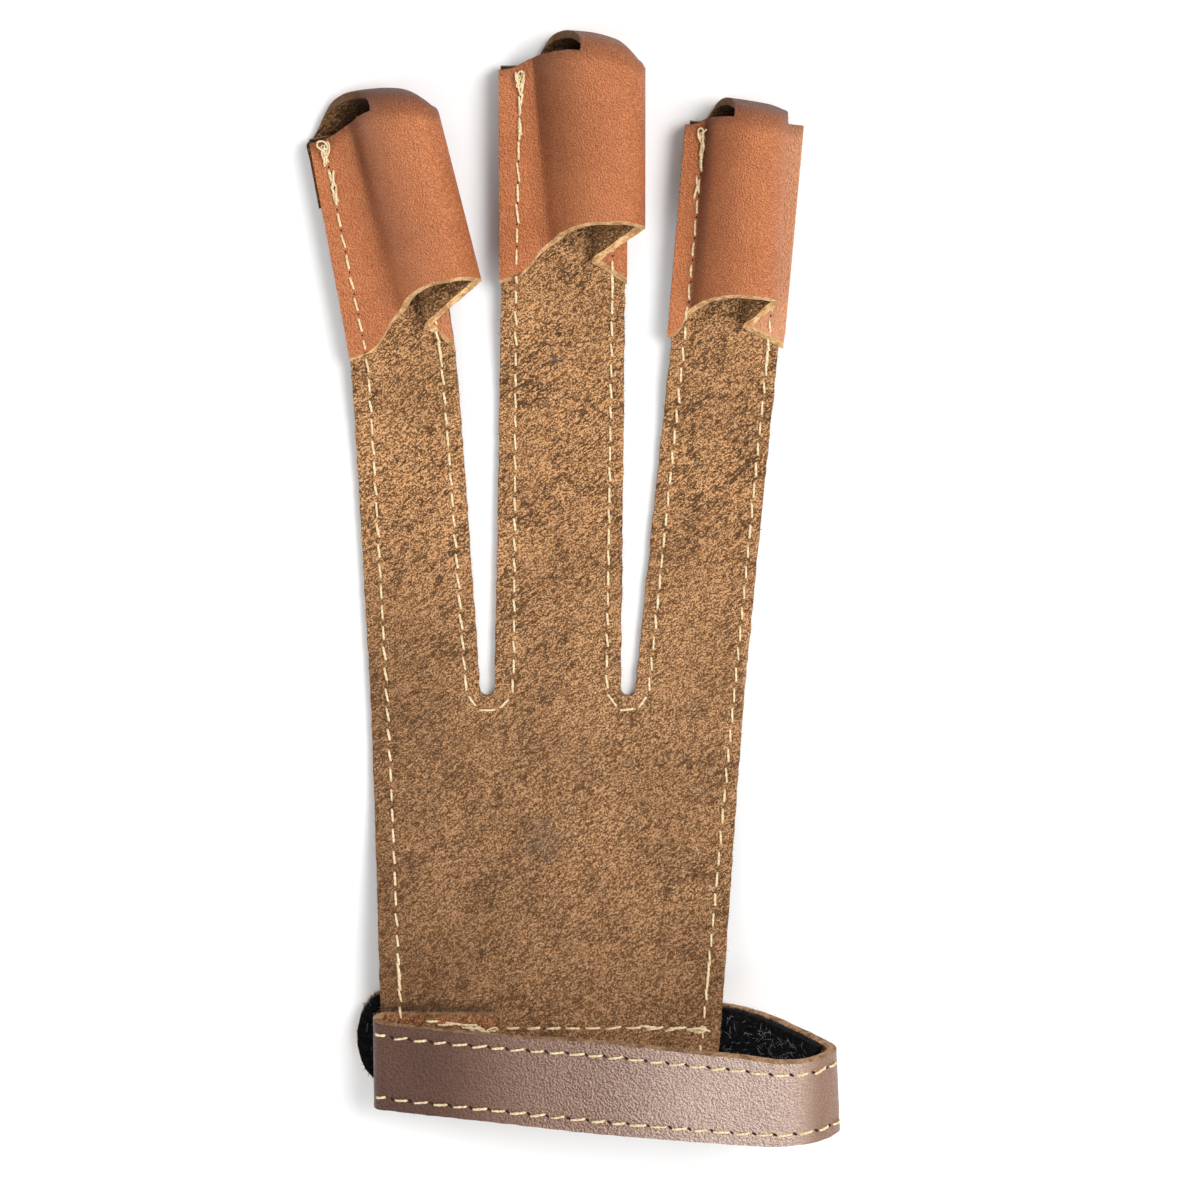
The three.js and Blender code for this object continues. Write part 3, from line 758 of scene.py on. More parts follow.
# Folds of a stall's blank from left to right: part, share along it, share of the height,
# and how far the fold follows the arched mouth and the shoulder
stallFolds = [
    ("leftFlange", 0.00, 0.00, 0.00, 0.00), ("leftFlange", 0.45, 0.00, 0.12, 0.12),
    ("leftFlange", 0.86, 0.01, 0.48, 0.42), ("front", 0.04, 0.10, 0.62, 0.58),
    ("front", 0.16, 0.42, 0.80, 0.82), ("front", 0.31, 0.72, 0.92, 1.00),
    ("front", 0.48, 0.92, 0.99, 1.00), ("front", 0.66, 1.00, 1.00, 0.94),
    ("front", 0.83, 0.96, 1.00, 0.84), ("front", 0.95, 0.78, 0.96, 0.70),
    ("front", 1.00, 0.48, 0.90, 0.56), ("return", 0.14, 0.15, 0.80, 0.40),
    ("return", 0.52, 0.04, 0.62, 0.26), ("return", 1.00, 0.00, 0.40, 0.14),
    ("turn", 0.30, 0.00, 0.36, 0.10), ("turn", 0.70, 0.00, 0.32, 0.08),
    ("rightFlange", 0.00, 0.00, 0.26, 0.06), ("rightFlange", 0.50, 0.00, 0.13, 0.02),
    ("rightFlange", 1.00, 0.00, 0.00, 0.00),
]
tongueBends = [(0.30, 0.03, 0.00), (0.66, 0.12, 0.02), (0.90, 0.30, 0.07), (1.00, 0.52, 0.16),
               (0.80, 0.74, 0.29), (0.25, 0.91, 0.42)]  # forward, drop, fan
flapBends = [(0.00, 0.60), (0.07, 0.68), (0.30, 0.86), (0.62, 0.98), (1.00, 1.00)]  # back, fan
stallCell = 0.5


# Finger stall: the folded front with its arched mouth, and the tongue over the tip to the back
def makeStall(index):
    finger = fingers[index]
    base = leather["panel"] + leather["clearance"] + leather["stall"] / 2
    backLevel = -(leather["panel"] + 2 * leather["clearance"] + leather["stall"])
    sheetRows = round(finger["stallLength"] / stallCell)

    def foldLine(share):
        controls = []
        for number, fold in enumerate(stallFolds):
            across, up = foldPoint(finger, fold, share)
            low = fold[3] * finger["mouthRise"]
            high = finger["stallLength"] + fold[4] * finger["shoulderRise"]
            high -= finger["cornerDrop"] * ease(number, 6.5, 9.5) * (1 - ease(number, 11, 15))
            high += finger["flangeRise"] * ease(number, 13.5, 15.5)
            controls.append(Vector((across, lerp(low, high, share), up)))
        return bentLine(controls), controls

    steps = []  # shares along the blank, even in each fold
    line, controls = foldLine(0.5)
    foldOf = []
    for i in range(len(controls) - 1):
        count = max(2, round((controls[i + 1] - controls[i]).length / stallCell))
        for step in range(count):
            steps.append((i + step / count) / (len(controls) - 1))
            foldOf.append(i + step / count)
    steps.append(1)
    foldOf.append(len(controls) - 1)
    fronts = [i for i, fold in enumerate(stallFolds) if fold[0] == "front"]
    firstFold = lerp(fronts[0], fronts[-1], finger["tongueStart"])
    lastFold = lerp(fronts[0], fronts[-1], finger["tongueEnd"])
    first = min(range(len(steps)), key=lambda i: abs(foldOf[i] - firstFold))
    last = min(range(len(steps)), key=lambda i: abs(foldOf[i] - lastFold))
    local = []
    for row in range(sheetRows + 1):
        share = row / sheetRows
        line, _ = foldLine(share)
        local.append([line(step) for step in steps])
    columnsOf = len(steps) - 1
    bends = []
    for column in range(first, last + 1):
        start = local[sheetRows][column]
        flapShare = (column - first) / (last - first)
        flapAcross = finger["flapShift"] + flapShare * finger["flapWidth"]
        flapEnd = finger["stallLength"] - finger["flapLength"]
        reach = finger["tipReach"] * (1 - finger["cornerCut"] * ease(flapShare, 0.55, 1.0))
        controls = [start]
        for forward, drop, fan in tongueBends:
            x = lerp(start.x, flapAcross, min(fan * finger["fanRate"], 1))
            controls.append(Vector((x, start.y + forward * reach, lerp(start.z, backLevel, drop))))
        for back, fan in flapBends:
            x = lerp(start.x, flapAcross, min(fan * finger["fanRate"], 1))
            y = lerp(finger["stallLength"] + panel["pastStall"], flapEnd, back)
            controls.append(Vector((x, y, backLevel)))
        bends.append(bentLine(controls))
    middle = bends[len(bends) // 2]
    length = lengthOf(middle)
    print(finger["name"], "flat", round(lengthOf(line)), "mm by",
          round(finger["stallLength"] + length))
    tongueShares = evenShares(middle, round(length / stallCell))[0][1:]
    for share in tongueShares:
        line = [None] * (columnsOf + 1)
        for column in range(first, last + 1):
            line[column] = bends[column - first](share)
        local.append(line)

    def place(point):
        reach = finger["stripLength"] + point.y
        x, y = fingerPlan(index, reach, point.x - finger["blankWidth"] / 2)
        return Vector((x, y, base + stripLift(finger, reach) + point.z))

    points = [[place(p) if p else None for p in line] for line in local]
    creaseFold, leftSpan, rightSpan, atMouth, atTip = finger["crease"]

    # Painted shade in the crease where the front rises off the left flange, stronger towards the tip
    def creaseShadeMask(column, row):
        share = min(row / sheetRows, 1)
        away = foldOf[column] - creaseFold
        near = math.exp(-(away / (leftSpan if away < 0 else rightSpan)) ** 2)
        past = ease(row, sheetRows, sheetRows + 6)
        return near * lerp(atMouth, atTip, ease(share, 0.1, 0.9)) * (1 - past)

    # Painted sheen and shade where the stall folds over its tip to the back, strongest on the bend
    def sheenShadeMask(column, row):
        if row <= sheetRows:
            return 0.38 * finger["sheen"] * ease(row / sheetRows, 0.93, 1.0)
        away = min((row - sheetRows) / (0.42 * len(tongueShares)), 1)
        return (0.38 + 0.5 * math.sin(math.pi * away)) * finger["sheen"]

    # Shade on the rough side, deep in the stall but lighter where the flap shows beside its tongue
    def depthMask(column, row):
        if row <= sheetRows:
            return 0.95 * ease(row / sheetRows, 0.55, 0.97)
        away = ease((row - sheetRows) / len(tongueShares), 0.12, 0.42)
        aside = ease((column - first) / (last - first), 0.04, 0.34)
        return 0.95 - 0.62 * away * (1 - 0.75 * aside)

    # Painted reflection: a greyish highlight stripe along the stall front, beside the crease
    def highlightMask(column, row):
        fold, span, amount = finger["highlight"]
        return amount * math.exp(-((foldOf[column] - fold) / span) ** 2) * ease(row, 4, 30)

    masks = {
        "crease": creaseShadeMask,
        "sheen": sheenShadeMask,
        "depth": depthMask,
        "highlight": highlightMask,
        "mouth": lambda column, row: (1 + 0.8 * ease(foldOf[column], 9.5, 10.5)) * max(1 - row / 7, 0),
        "level": lambda column, row: inFrame(points[row][column]).z,
        "lit": lambda column, row: finger["flangeLight"] * ease(foldOf[column], 14.5, 16),
    }
    blank = cutBlank(finger["name"] + "_leather", columnsOf, len(points) - 1,
                     lambda column, row: points[row][column] is None)
    bendLeather(blank, points, leather["stall"], ("stall", "stallSuede", "stallEdge"), masks, skive=0.9)
    finishPiece(blank, "stall_leather", finger["name"])
    return blank


loopBends = [
    (0.266, 0.510, 0.0), (0.487, 0.712, 0.2), (0.706, 0.900, 0.7), (0.800, 0.972, 0.9),
    (0.868, 1.000, 1.0), (0.935, 0.950, 1.0), (0.978, 0.850, 1.0), (0.999, 0.735, 0.9),
    (0.974, 0.590, 0.7), (0.926, 0.392, 0.4), (0.872, 0.225, 0.2), (0.812, 0.115, 0.1),
    (0.765, 0.048, 0.0),
]  # across the loop, up, and its tilt


# Strap in its own plane: stations along it, as x, z, tilt, width share, how much its far edge is
# trimmed and whether it lies behind the panel
def strapStations():
    trim = strap["trim"]
    stations = [(lerp(foldCentre, startCut, share), startLevel, 0, 1, 0, False) for share in (1, 0.66, 0.33)]
    for i in range(7):
        angle = math.radians(270 - strap["foldTurn"] * i / 6)
        x = foldCentre + strap["foldRadius"] * math.cos(angle)
        z = startLevel + strap["foldRadius"] * (1 + math.sin(angle))
        stations.append((x, z, 0, 1, trim * i / 6, False))
    for number, (across, up, tilt) in enumerate(loopBends):
        cut = trim * (ease(across, 0.52, 0.28) if number < 3 else ease(across, 0.80, 0.93))
        stations.append((foldCentre + across * loopSpan, up * strap["loopHeight"], tilt, 1, cut, False))
    level = leather["strap"] / 2
    for share in (0, 0.03, 0.5, 1):
        stations.append((lerp(floorStart, tabEnd + strap["tabRound"], share), level, 0, 1, 0, True))
    for degrees in (70, 50, 34, 20, 9):
        angle = math.radians(degrees)
        x = tabEnd + strap["tabRound"] * (1 - math.cos(angle))
        stations.append((x, level, 0, math.sin(angle), 0, True))
    return stations


# Band that follows the stations, from its far edge (+y) to its near edge, evenly along its length
def bandPoints(stations, halfWidth, cell, across):
    edges = []
    for side in (1, -1):
        points = []
        for station in stations:
            x, z, tilt, _, cut, back = station
            lower = tilt if side < 0 else 0
            shift = strap["tabShift"] * min(max((floorStart - x) / (floorStart - tabEnd), 0), 1)
            half = halfWidth(station, side) - (cut if side > 0 else 0)
            y = strapMiddle + (shift if back else 0) + side * half
            points.append(Vector((x + lower * strap["loopSplay"], y, z - lower * strap["loopTilt"])))
        edges.append(bentLine(points))

    def middle(share):
        return (edges[0](share) + edges[1](share)) / 2

    length = lengthOf(middle)
    shares = evenShares(middle, round(length / cell))[0]
    grid = []
    for share in shares:
        far, near = edges[0](share), edges[1](share)
        grid.append([far.lerp(near, c / across) for c in range(across + 1)])
    return grid


strapGrid = bandPoints(strapStations(), lambda station, side: station[3] * strap["width"] / 2,
                       strap["cell"], strap["columns"])


def makeStrap():
    blank = cutBlank("wrist_strap_leather", len(strapGrid[0]) - 1, len(strapGrid) - 1, lambda c, r: False)
    points = []
    for row, line in enumerate(strapGrid):
        bent = []
        for column, point in enumerate(line):
            edge = abs(2 * column / (len(line) - 1) - 1) ** 16
            ragged = 0.14 * ripple(row * strap["cell"], column, 8.0, 2.8) * edge
            bent.append(point + Vector((0, ragged, 0)))
        points.append(bent)
    bendLeather(blank, points, leather["strap"], ("strap", "strapSuede", "strapEdge"))
    finishPiece(blank, "strap_leather", "wrist_strap")
    return blank


tape = {"margin": 0.3, "climb": 0.675, "cell": 0.8, "columns": 24, "farSeam": 2.4, "nearSeam": 2.6}


# Hook tape: the strap's line from the turn of the loop to the round end, moved to its inner face
def tapePoints():
    stations = strapStations()
    startHeight = tape["climb"] * strap["loopHeight"]
    raised = tapeLevel - leather["strap"] / 2
    crest = next(i for i, s in enumerate(stations) if s[2] == 1)
    first = next(i for i, s in enumerate(stations) if i > crest and s[1] < startHeight)
    moved = []
    for i, (x, z, *rest) in enumerate(stations):
        before = stations[max(i - 1, 0)]
        after = stations[min(i + 1, len(stations) - 1)]
        length = math.hypot(after[0] - before[0], after[1] - before[1])
        moved.append((x + raised * (after[1] - before[1]) / length,
                      z - raised * (after[0] - before[0]) / length, *rest))
    low, high = stations[first][1], stations[first - 1][1]
    share = (startHeight - low) / (high - low)
    start = tuple(lerp(a, b, share) for a, b in zip(moved[first], moved[first - 1]))
    moved = [start, *moved[first:]] if share > 0.15 else moved[first:]
    span = moved[0][0] - tabEnd

    def half(station, side):
        margin = tape["margin"] * min(max((station[0] - tabEnd) / span, 0), 1) if side > 0 else 0
        return station[3] * strap["width"] / 2 - margin

    return bandPoints(moved, half, tape["cell"], tape["columns"])


tapeGrid = tapePoints()


def makeTape():
    blank = cutBlank("hook_tape_band", len(tapeGrid[0]) - 1, len(tapeGrid) - 1, lambda c, r: False)
    bendLeather(blank, tapeGrid, leather["tape"], ("tape", "tape", "tape"), roundOff=0.3)
    finishPiece(blank, "hook_tape", "hook_tape")


patch = {"length": 66, "width": 16.5}


def makePatch():
    columns, rows = round(patch["length"]), round(patch["width"])
    points = [[Vector((patchCentre + (c / columns - 0.5) * patch["length"],
                       strapMiddle + (r / rows - 0.5) * patch["width"], patchLevel))
               for c in range(columns + 1)] for r in range(rows + 1)]
    blank = cutBlank("loop_patch_band", columns, rows, lambda c, r: False)
    bendLeather(blank, points, leather["patch"], ("patch", "patch", "patch"), roundOff=0.3)
    finishPiece(blank, "loop_tape", "loop_patch")


panelPiece = makePanel()
print("panel", len(panelPiece.data.polygons))
stallPieces = [makeStall(index) for index in range(3)]
print("stalls", [len(piece.data.polygons) for piece in stallPieces])
strapPiece = makeStrap()
makeTape()
makePatch()
print("strap and tape, flat", round((len(strapGrid) - 1) * strap["cell"]),
      round((len(tapeGrid) - 1) * tape["cell"]), "mm")


print("finding the seams")

stitch = {"pitch": 4.5, "length": 3.6, "radius": 0.26, "slant": 5, "dive": 0.40, "tight": 1.24}


def surfaceOf(*pieces):
    corners, faces = [], []
    for piece in pieces:
        start = len(corners)
        corners.extend(vertex.co.copy() for vertex in piece.data.vertices)
        faces.extend(tuple(start + i for i in face.vertices) for face in piece.data.polygons)
    return BVHTree.FromPolygons(corners, faces)


topSurface = surfaceOf(panelPiece, strapPiece, *stallPieces)
underSurface = surfaceOf(panelPiece, *stallPieces)


# Inset of a seam on a finger: at the slots, at the mouth and at the tip
def seamInset(insets, finger, along):
    if along < finger["stripLength"]:
        return lerp(insets[0], insets[1], along / finger["stripLength"])
    return lerp(insets[1], insets[2], (along - finger["stripLength"]) / finger["stallLength"])


# Plan points of a seam along one side of a finger, with the height to look down from
def fingerSeam(index, side, start, end, step=3.0):
    finger = fingers[index]
    insets = finger["leftSeam"] if side < 0 else finger["rightSeam"]
    flangeTop = leather["panel"] + leather["clearance"] + leather["stall"] + 0.42
    points = []
    count = max(2, round(abs(end - start) / step))
    for i in range(count + 1):
        along = lerp(start, end, i / count)
        width = lerp(finger["rootWidth"], finger["stripWidth"], min(along / finger["stripLength"], 1))
        aside = side * (width / 2 - seamInset(insets, finger, along))
        x, y = fingerPlan(index, along, aside)
        low = side > 0 and along > finger["stripLength"] - 1
        points.append(Vector((x, y, stripLift(finger, along) + flangeTop if low else 40)))
    return points


def slotSeam(index):
    slotMiddle = (rootCentre(index) + fingers[index]["rootWidth"] / 2
                  + rootCentre(index + 1) - fingers[index + 1]["rootWidth"] / 2) / 2
    left = panel["slotWidth"] / 2 + fingers[index]["rightSeam"][0]
    right = panel["slotWidth"] / 2 + fingers[index + 1]["leftSeam"][0]
    points = []
    for degrees in (200, 225, 247, 270, 293, 315, 340):
        angle = math.radians(degrees)
        reach = left if math.cos(angle) < 0 else right
        x = slotMiddle + reach * math.cos(angle)
        y = 0.6 + (panel["slotWidth"] / 2 + 4.1) * math.sin(angle)
        points.append(Vector((x, y, 40)))
    return points


def palmSeam(side, wristInset, slotInset):
    points = []
    for i in range(13):
        y = lerp(-panel["palmLength"] + 3.0, -6, i / 12)
        inset = lerp(wristInset, slotInset, i / 12)
        height = startLevel + leather["strap"] if y < strapMiddle + strap["width"] / 2 + 6 else 40
        points.append(Vector((panelEdge(y, side) - side * inset, y, height)))
    return points


stallEnd = [finger["stripLength"] + finger["stallLength"] - 1.0 for finger in fingers]
seamRoutes = {
    "left": palmSeam(-1, 4.5, 3.6) + fingerSeam(0, -1, 4, stallEnd[0]),
    "firstSlot": (fingerSeam(0, 1, stallEnd[0] - 6, 3) + slotSeam(0) + fingerSeam(1, -1, 3, stallEnd[1])),
    "secondSlot": (fingerSeam(1, 1, stallEnd[1] - 6, 3) + slotSeam(1) + fingerSeam(2, -1, 3, stallEnd[2])),
    "right": fingerSeam(2, 1, stallEnd[2] - 6, 4) + palmSeam(1, 4.2, 2.3)[::-1],
}
patchSeamY = strapMiddle + patch["width"] / 2 - 0.6
underBand = startLevel + leather["strap"] / 2 + 0.7
patchSeam = []
for i in range(15):
    x = lerp(panelEdge(patchSeamY, -1) + 9, panelEdge(patchSeamY, 1) - 3.6, i / 14)
    drop = 1.15 * ease(x, startCut - 16, startCut) - 1.2 * ease(x, startCut + 2, startCut - 14)
    patchSeam.append(Vector((x, patchSeamY - drop - 0.3 * ripple(i, 0, 2.0, 4), underBand)))
seamRoutes["patch"] = patchSeam
nearSeamY = patchSeamY - patch["width"] + 1.6
seamRoutes["patchNear"] = [Vector((point.x, nearSeamY, underBand)) for point in patchSeam]


# Needle holes along a route, found on the leather from above or from below
def findHoles(route, surface, down=True, keep=lambda point: True):
    line = bentLine(route)
    length = lengthOf(line)
    count = round(length / stitch["pitch"])
    shares = evenShares(line, count)[0]
    holes = []
    for i, share in enumerate(shares):
        nudge = random.uniform(-0.18, 0.18) / length if 0 < i < count else 0
        spot = line(min(max(share + nudge, 0), 1))
        if not keep(spot):
            holes.append(None)
            continue
        start = inFrame(spot) if down else inFrame(Vector((spot.x, spot.y, -20)))
        hit, normal, _, _ = surface.ray_cast(start, Vector((0, 0, -1 if down else 1)))
        if hit is None:
            holes.append(None)
            continue
        if normal.z * (1 if down else -1) < 0:
            normal = -normal
        holes.append((hit, normal))
    return holes


# Normal of a band at one row, on its outer (1) or inner (-1) face, and the way across it
def bandNormal(line, along, face):
    across = (line[-1] - line[0]).normalized()
    return along.cross(across).normalized() * -face, across


# Holes along the strap at an inset from one edge, on its outer (1) or inner (-1) face
def bandHoles(grid, thickness, inset, width, face, first, last, farSide):
    rows = len(grid) - 1
    share = inset / width if farSide else 1 - inset / width
    columns = len(grid[0]) - 1
    place = share * columns
    c = int(place)
    track = [line[c].lerp(line[c + 1], place - c) for line in grid]
    holes, run, goal = [], 0.0, 0.0
    for row in range(1, rows):
        step = (track[row] - track[row - 1]).length
        run += step
        if row < first * rows or row > last * rows or run < goal:
            continue
        goal = run + stitch["pitch"] - (run - goal if goal else 0)
        along = (track[row + 1] - track[row - 1]).normalized()
        normal, _ = bandNormal(grid[row], along, face)
        holes.append((inFrame(track[row] + normal * thickness / 2), normal))
    return holes


topSeams = {name: findHoles(route, topSurface) for name, route in seamRoutes.items()}
stackEnd = strapMiddle + strap["width"] / 2 + 3.5
underSeams = {name: findHoles(seamRoutes[name], underSurface, False, lambda point: point.y > stackEnd)
              for name in ("left", "firstSlot", "secondSlot", "right")}
leftmost = min(range(len(strapGrid) // 3), key=lambda row: strapGrid[row][0].x)
foldShare = (leftmost - 0.5) / (len(strapGrid) - 1)
strapSeams, strapInner = {}, {}
for name, isFar in (("far", True), ("near", False)):
    strapSeams[name] = bandHoles(strapGrid, leather["strap"], strap["seamInset"], strap["width"], 1,
                                 foldShare, 0.965, isFar)
    strapInner[name] = bandHoles(strapGrid, leather["strap"], strap["seamInset"], strap["width"], -1,
                                 foldShare + 0.01, 0.50, isFar)
tapeSeams = {
    "far": bandHoles(tapeGrid, leather["tape"], tape["farSeam"], strap["width"], -1, 0.02, 0.95, True),
    "near": bandHoles(tapeGrid, leather["tape"], tape["nearSeam"], strap["width"], -1, 0.02, 0.95, False),
}
print("seams", {name: len(holes) for name, holes in topSeams.items()}, len(strapSeams["far"]))


# The thread pulls the leather in at each hole and a little along each stitch
def pullIn(piece, seams, depth, radius, groove):
    spots = []
    for holes in seams:
        for i, hole in enumerate(holes):
            if hole is None:
                continue
            spots.append((hole[0], hole[1], depth))
            if i + 1 < len(holes) and holes[i + 1] is not None:
                for share in (0.25, 0.5, 0.75):
                    spots.append((hole[0].lerp(holes[i + 1][0], share), hole[1], groove))
    tree = KDTree(len(spots))
    for i, spot in enumerate(spots):
        tree.insert(spot[0], i)
    tree.balance()
    moves = []
    for vertex in piece.data.vertices:
        _, i, distance = tree.find(vertex.co)
        if distance < radius * mm and vertex.normal.dot(spots[i][1]) > 0.5:
            moves.append((vertex, vertex.normal.copy(), spots[i][2] * (1 - distance / (radius * mm)) ** 2))
    for vertex, normal, amount in moves:
        vertex.co -= normal * amount * mm


pullIn(panelPiece, [*topSeams.values(), *underSeams.values()], 0.30, 1.8, 0.14)
for piece in stallPieces:
    pullIn(piece, [*topSeams.values(), *underSeams.values()], 0.34, 1.7, 0.16)
pullIn(strapPiece, [*strapSeams.values(), *strapInner.values(), topSeams["patch"]], 0.42, 1.8, 0.12)


print("sewing")


# One stitch, one unit long, its ends diving into the holes: a round thread of two twisted plies
def makeStitch():
    bpy.ops.object.select_all(action="DESELECT")
    bpy.ops.mesh.primitive_uv_sphere_add(segments=10, ring_count=14, radius=1)
    thread = bpy.context.object
    ordered = sorted(thread.data.vertices, key=lambda v: [round(v.co[axis], 4) for axis in (2, 1, 0)])
    numbers = {vertex.index: i for i, vertex in enumerate(ordered)}  # the same on every run
    corners = []
    for vertex in ordered:
        x, y, z = vertex.co
        share = math.asin(max(-1, min(1, z))) / (math.pi / 2)
        around = math.atan2(y, x)
        body = (1 - abs(share) ** 5) ** 0.5 if abs(share) < 1 else 0
        ply = 1 + 0.20 * math.cos(2 * (around - share * 4.2))
        corners.append((share / 2, body * ply * math.cos(around), body * ply * math.sin(around),
                        -abs(share) ** 4))
    faces = sorted(tuple(numbers[i] for i in face.vertices) for face in thread.data.polygons)
    bpy.data.objects.remove(thread)
    return corners, faces


oneStitch = makeStitch()


def newBag():
    return {"corners": [], "faces": []}


# Two directions on the leather, both turned by some degrees
def turnPair(along, across, degrees):
    turn = math.radians(degrees)
    return (along * math.cos(turn) + across * math.sin(turn),
            across * math.cos(turn) - along * math.sin(turn))


def addStitch(bag, start, end, normal, slant, thick=1.0, raised=0.6, longer=1.0, arch=0.0):
    middle = (start + end) / 2
    along = (end - start).normalized()
    along, across = turnPair(along, normal.cross(along).normalized(), slant)
    up = along.cross(across)
    radius = stitch["radius"] * thick * mm
    reach = stitch["length"] * longer * mm
    first = len(bag["corners"])
    for x, y, z, dive in oneStitch[0]:
        lift = radius * (raised + z) + dive * stitch["dive"] * mm + arch * (1 - 4 * x * x)
        bag["corners"].append(middle + along * x * reach + across * y * radius + up * lift)
    bag["faces"].extend(tuple(first + i for i in face) for face in oneStitch[1])


# Height of the leather's step under a stitch, above the straight line between its holes
def archOver(a, b, normal, surface):
    if abs(normal.z) < 0.3:
        return 0
    middle = (a + b) / 2
    side = 1 if normal.z > 0 else -1
    high = side * max(side * a.z, side * b.z) + side * 0.4 * mm
    hit = surface.ray_cast(Vector((middle.x, middle.y, high)), Vector((0, 0, -side)), 4 * mm)[0]
    return max((hit.z - middle.z) * side, 0) if hit else 0


def sewSeam(bag, holes, slant=stitch["slant"], raised=0.6, longer=1.0, surface=None, isTight=None):
    for a, b in zip(holes, holes[1:]):
        if a is None or b is None or (a[0] - b[0]).length > 1.6 * stitch["pitch"] * mm:
            continue
        normal = (a[1] + b[1]).normalized()
        arch = archOver(a[0], b[0], normal, surface) if surface else 0
        close = stitch["tight"] if isTight and isTight(a[0]) and isTight(b[0]) else 1
        addStitch(bag, a[0], b[0], normal, slant + random.uniform(-5, 5), random.uniform(0.86, 1.12),
                  raised, close * longer * random.uniform(0.80, 1.07), arch if arch > 0.25 * mm else 0)


def makePieceOf(bag, name, skin, slot):
    mesh = bpy.data.meshes.new(name)
    mesh.from_pydata([tuple(corner) for corner in bag["corners"]], [], bag["faces"])
    mesh.update()
    piece = bpy.data.objects.new(name, mesh)
    bpy.context.scene.collection.objects.link(piece)
    mesh.materials.append(skins[skin])
    bpy.ops.object.select_all(action="DESELECT")
    piece.select_set(True)
    bpy.context.view_layer.objects.active = piece
    bpy.ops.object.shade_smooth()
    finishPiece(piece, slot)


# Tube through the spots: a ring of corners at each, and a cap at each end
def addTube(bag, spots, sides, aside, sizeAt):
    first, last = len(bag["corners"]), len(spots) - 1
    for i, spot in enumerate(spots):
        along = (spots[min(i + 1, last)] - spots[max(i - 1, 0)]).normalized()
        across = along.cross(aside).normalized()
        up = along.cross(across)
        for side in range(sides):
            angle = 2 * math.pi * side / sides
            outward = across * math.cos(angle) + up * math.sin(angle)
            bag["corners"].append(spot + outward * sizeAt(i, angle) * mm)
    for i in range(last):
        for side in range(sides):
            a = first + i * sides + side
            b = first + i * sides + (side + 1) % sides
            bag["faces"].append((a, b, b + sides, a + sides))
    bag["faces"].append(tuple(first + side for side in reversed(range(sides))))
    bag["faces"].append(tuple(first + last * sides + side for side in range(sides)))


looseThread = {"sides": 7, "step": 0.35, "ply": 0.18, "twist": 0.75}


# Thread that lies free, along a smooth line
def addThread(bag, points, radius):
    line = bentLine(points)
    length = evenShares(line, 8, 200)[1]
    count = max(3, round(length / (looseThread["step"] * mm)))
    spots = [line(share) for share in evenShares(line, count, 300)[0]]

    def size(i, angle):
        return radius * (1 + looseThread["ply"] * math.cos(2 * (angle - i * looseThread["twist"])))

    addTube(bag, spots, looseThread["sides"], Vector((0.31, 0.17, 0.93)), size)


# One short fibre: a thin bent spike of three sides
def addHair(bag, root, direction, length, radius, curl):
    aside = direction.cross(Vector([random.uniform(-1, 1) for _ in range(3)]))
    aside = aside.normalized() if aside.length > 1e-6 else Vector((1, 0, 0))
    spots = [root + direction * length * far * mm + aside * curl * bent * mm
             for far, bent in ((0, 0), (0.4, 0.15), (0.8, 0.6), (1, 1))]
    addTube(bag, spots, 3, aside, lambda i, angle: radius * (1 - 0.25 * i))


# The seam at the left of the middle stall is sewn tighter than the rest
def onMiddleStall(spot):
    seamX, stallY = fingerPlan(1, fingers[1]["stripLength"] + 10, -fingers[1]["stripWidth"] / 2)
    corner = inFrame(Vector((seamX, stallY, 0)))
    return abs(spot.x - corner.x) < 7 * mm and spot.y > corner.y


panelBag, stallBag, strapBag, underBag = newBag(), newBag(), newBag(), newBag()
for name in ("left", "firstSlot", "secondSlot", "right", "patch", "patchNear"):
    sewSeam(panelBag, topSeams[name], raised=0.45, surface=topSurface, isTight=onMiddleStall)
for holes in underSeams.values():
    sewSeam(underBag, holes, raised=-0.25, surface=underSurface)
strapSurface = surfaceOf(strapPiece)
for holes in strapSeams.values():
    sewSeam(strapBag, holes, slant=9, raised=0.75, longer=1.06, surface=strapSurface)
for holes in strapInner.values():
    sewSeam(strapBag, holes, slant=-6, raised=0.2, longer=0.9)


# Back-tack at a seam's end: stitches over each other, and a loose loop of thread
def backTack(bag, holes, count, loops):
    found = [hole for hole in holes if hole]
    for i in range(count):
        a, b = found[-1 - i], found[-2 - i]
        for layer in range(2):
            aside = a[1].cross(b[0] - a[0]).normalized() * random.uniform(-0.55, 0.55) * mm
            slide = (b[0] - a[0]) * random.uniform(-0.3, 0.3)
            addStitch(bag, a[0] + slide + aside, b[0] + slide + aside, a[1], random.uniform(-16, 16),
                      1.0, 1.1 + 0.8 * layer, 1.15)
    end, normal = found[-1]
    along = (found[-1][0] - found[-2][0]).normalized()
    across = normal.cross(along).normalized()
    for loop in loops:
        spots = [end + (along * y * 0.8 + across * x * 0.7 + normal * (z + 0.3)) * mm for x, y, z in loop]
        addThread(bag, spots, 0.2)
    for _ in range(2):
        tangle = [end + (along * random.uniform(-2.6, 0.7) + across * random.uniform(-0.8, 0.8)
                         + normal * random.uniform(0.4, 1.1)) * mm for _ in range(6)]
        addThread(bag, tangle, 0.17)
    for _ in range(5):
        lean = (along * random.uniform(-0.2, 1) + across * random.uniform(-1, 1) + normal * 0.5).normalized()
        addHair(bag, end + along * random.uniform(-3, 0) * mm + normal * 0.5 * mm, lean,
                random.uniform(1.0, 2.2), 0.06, 0.9)


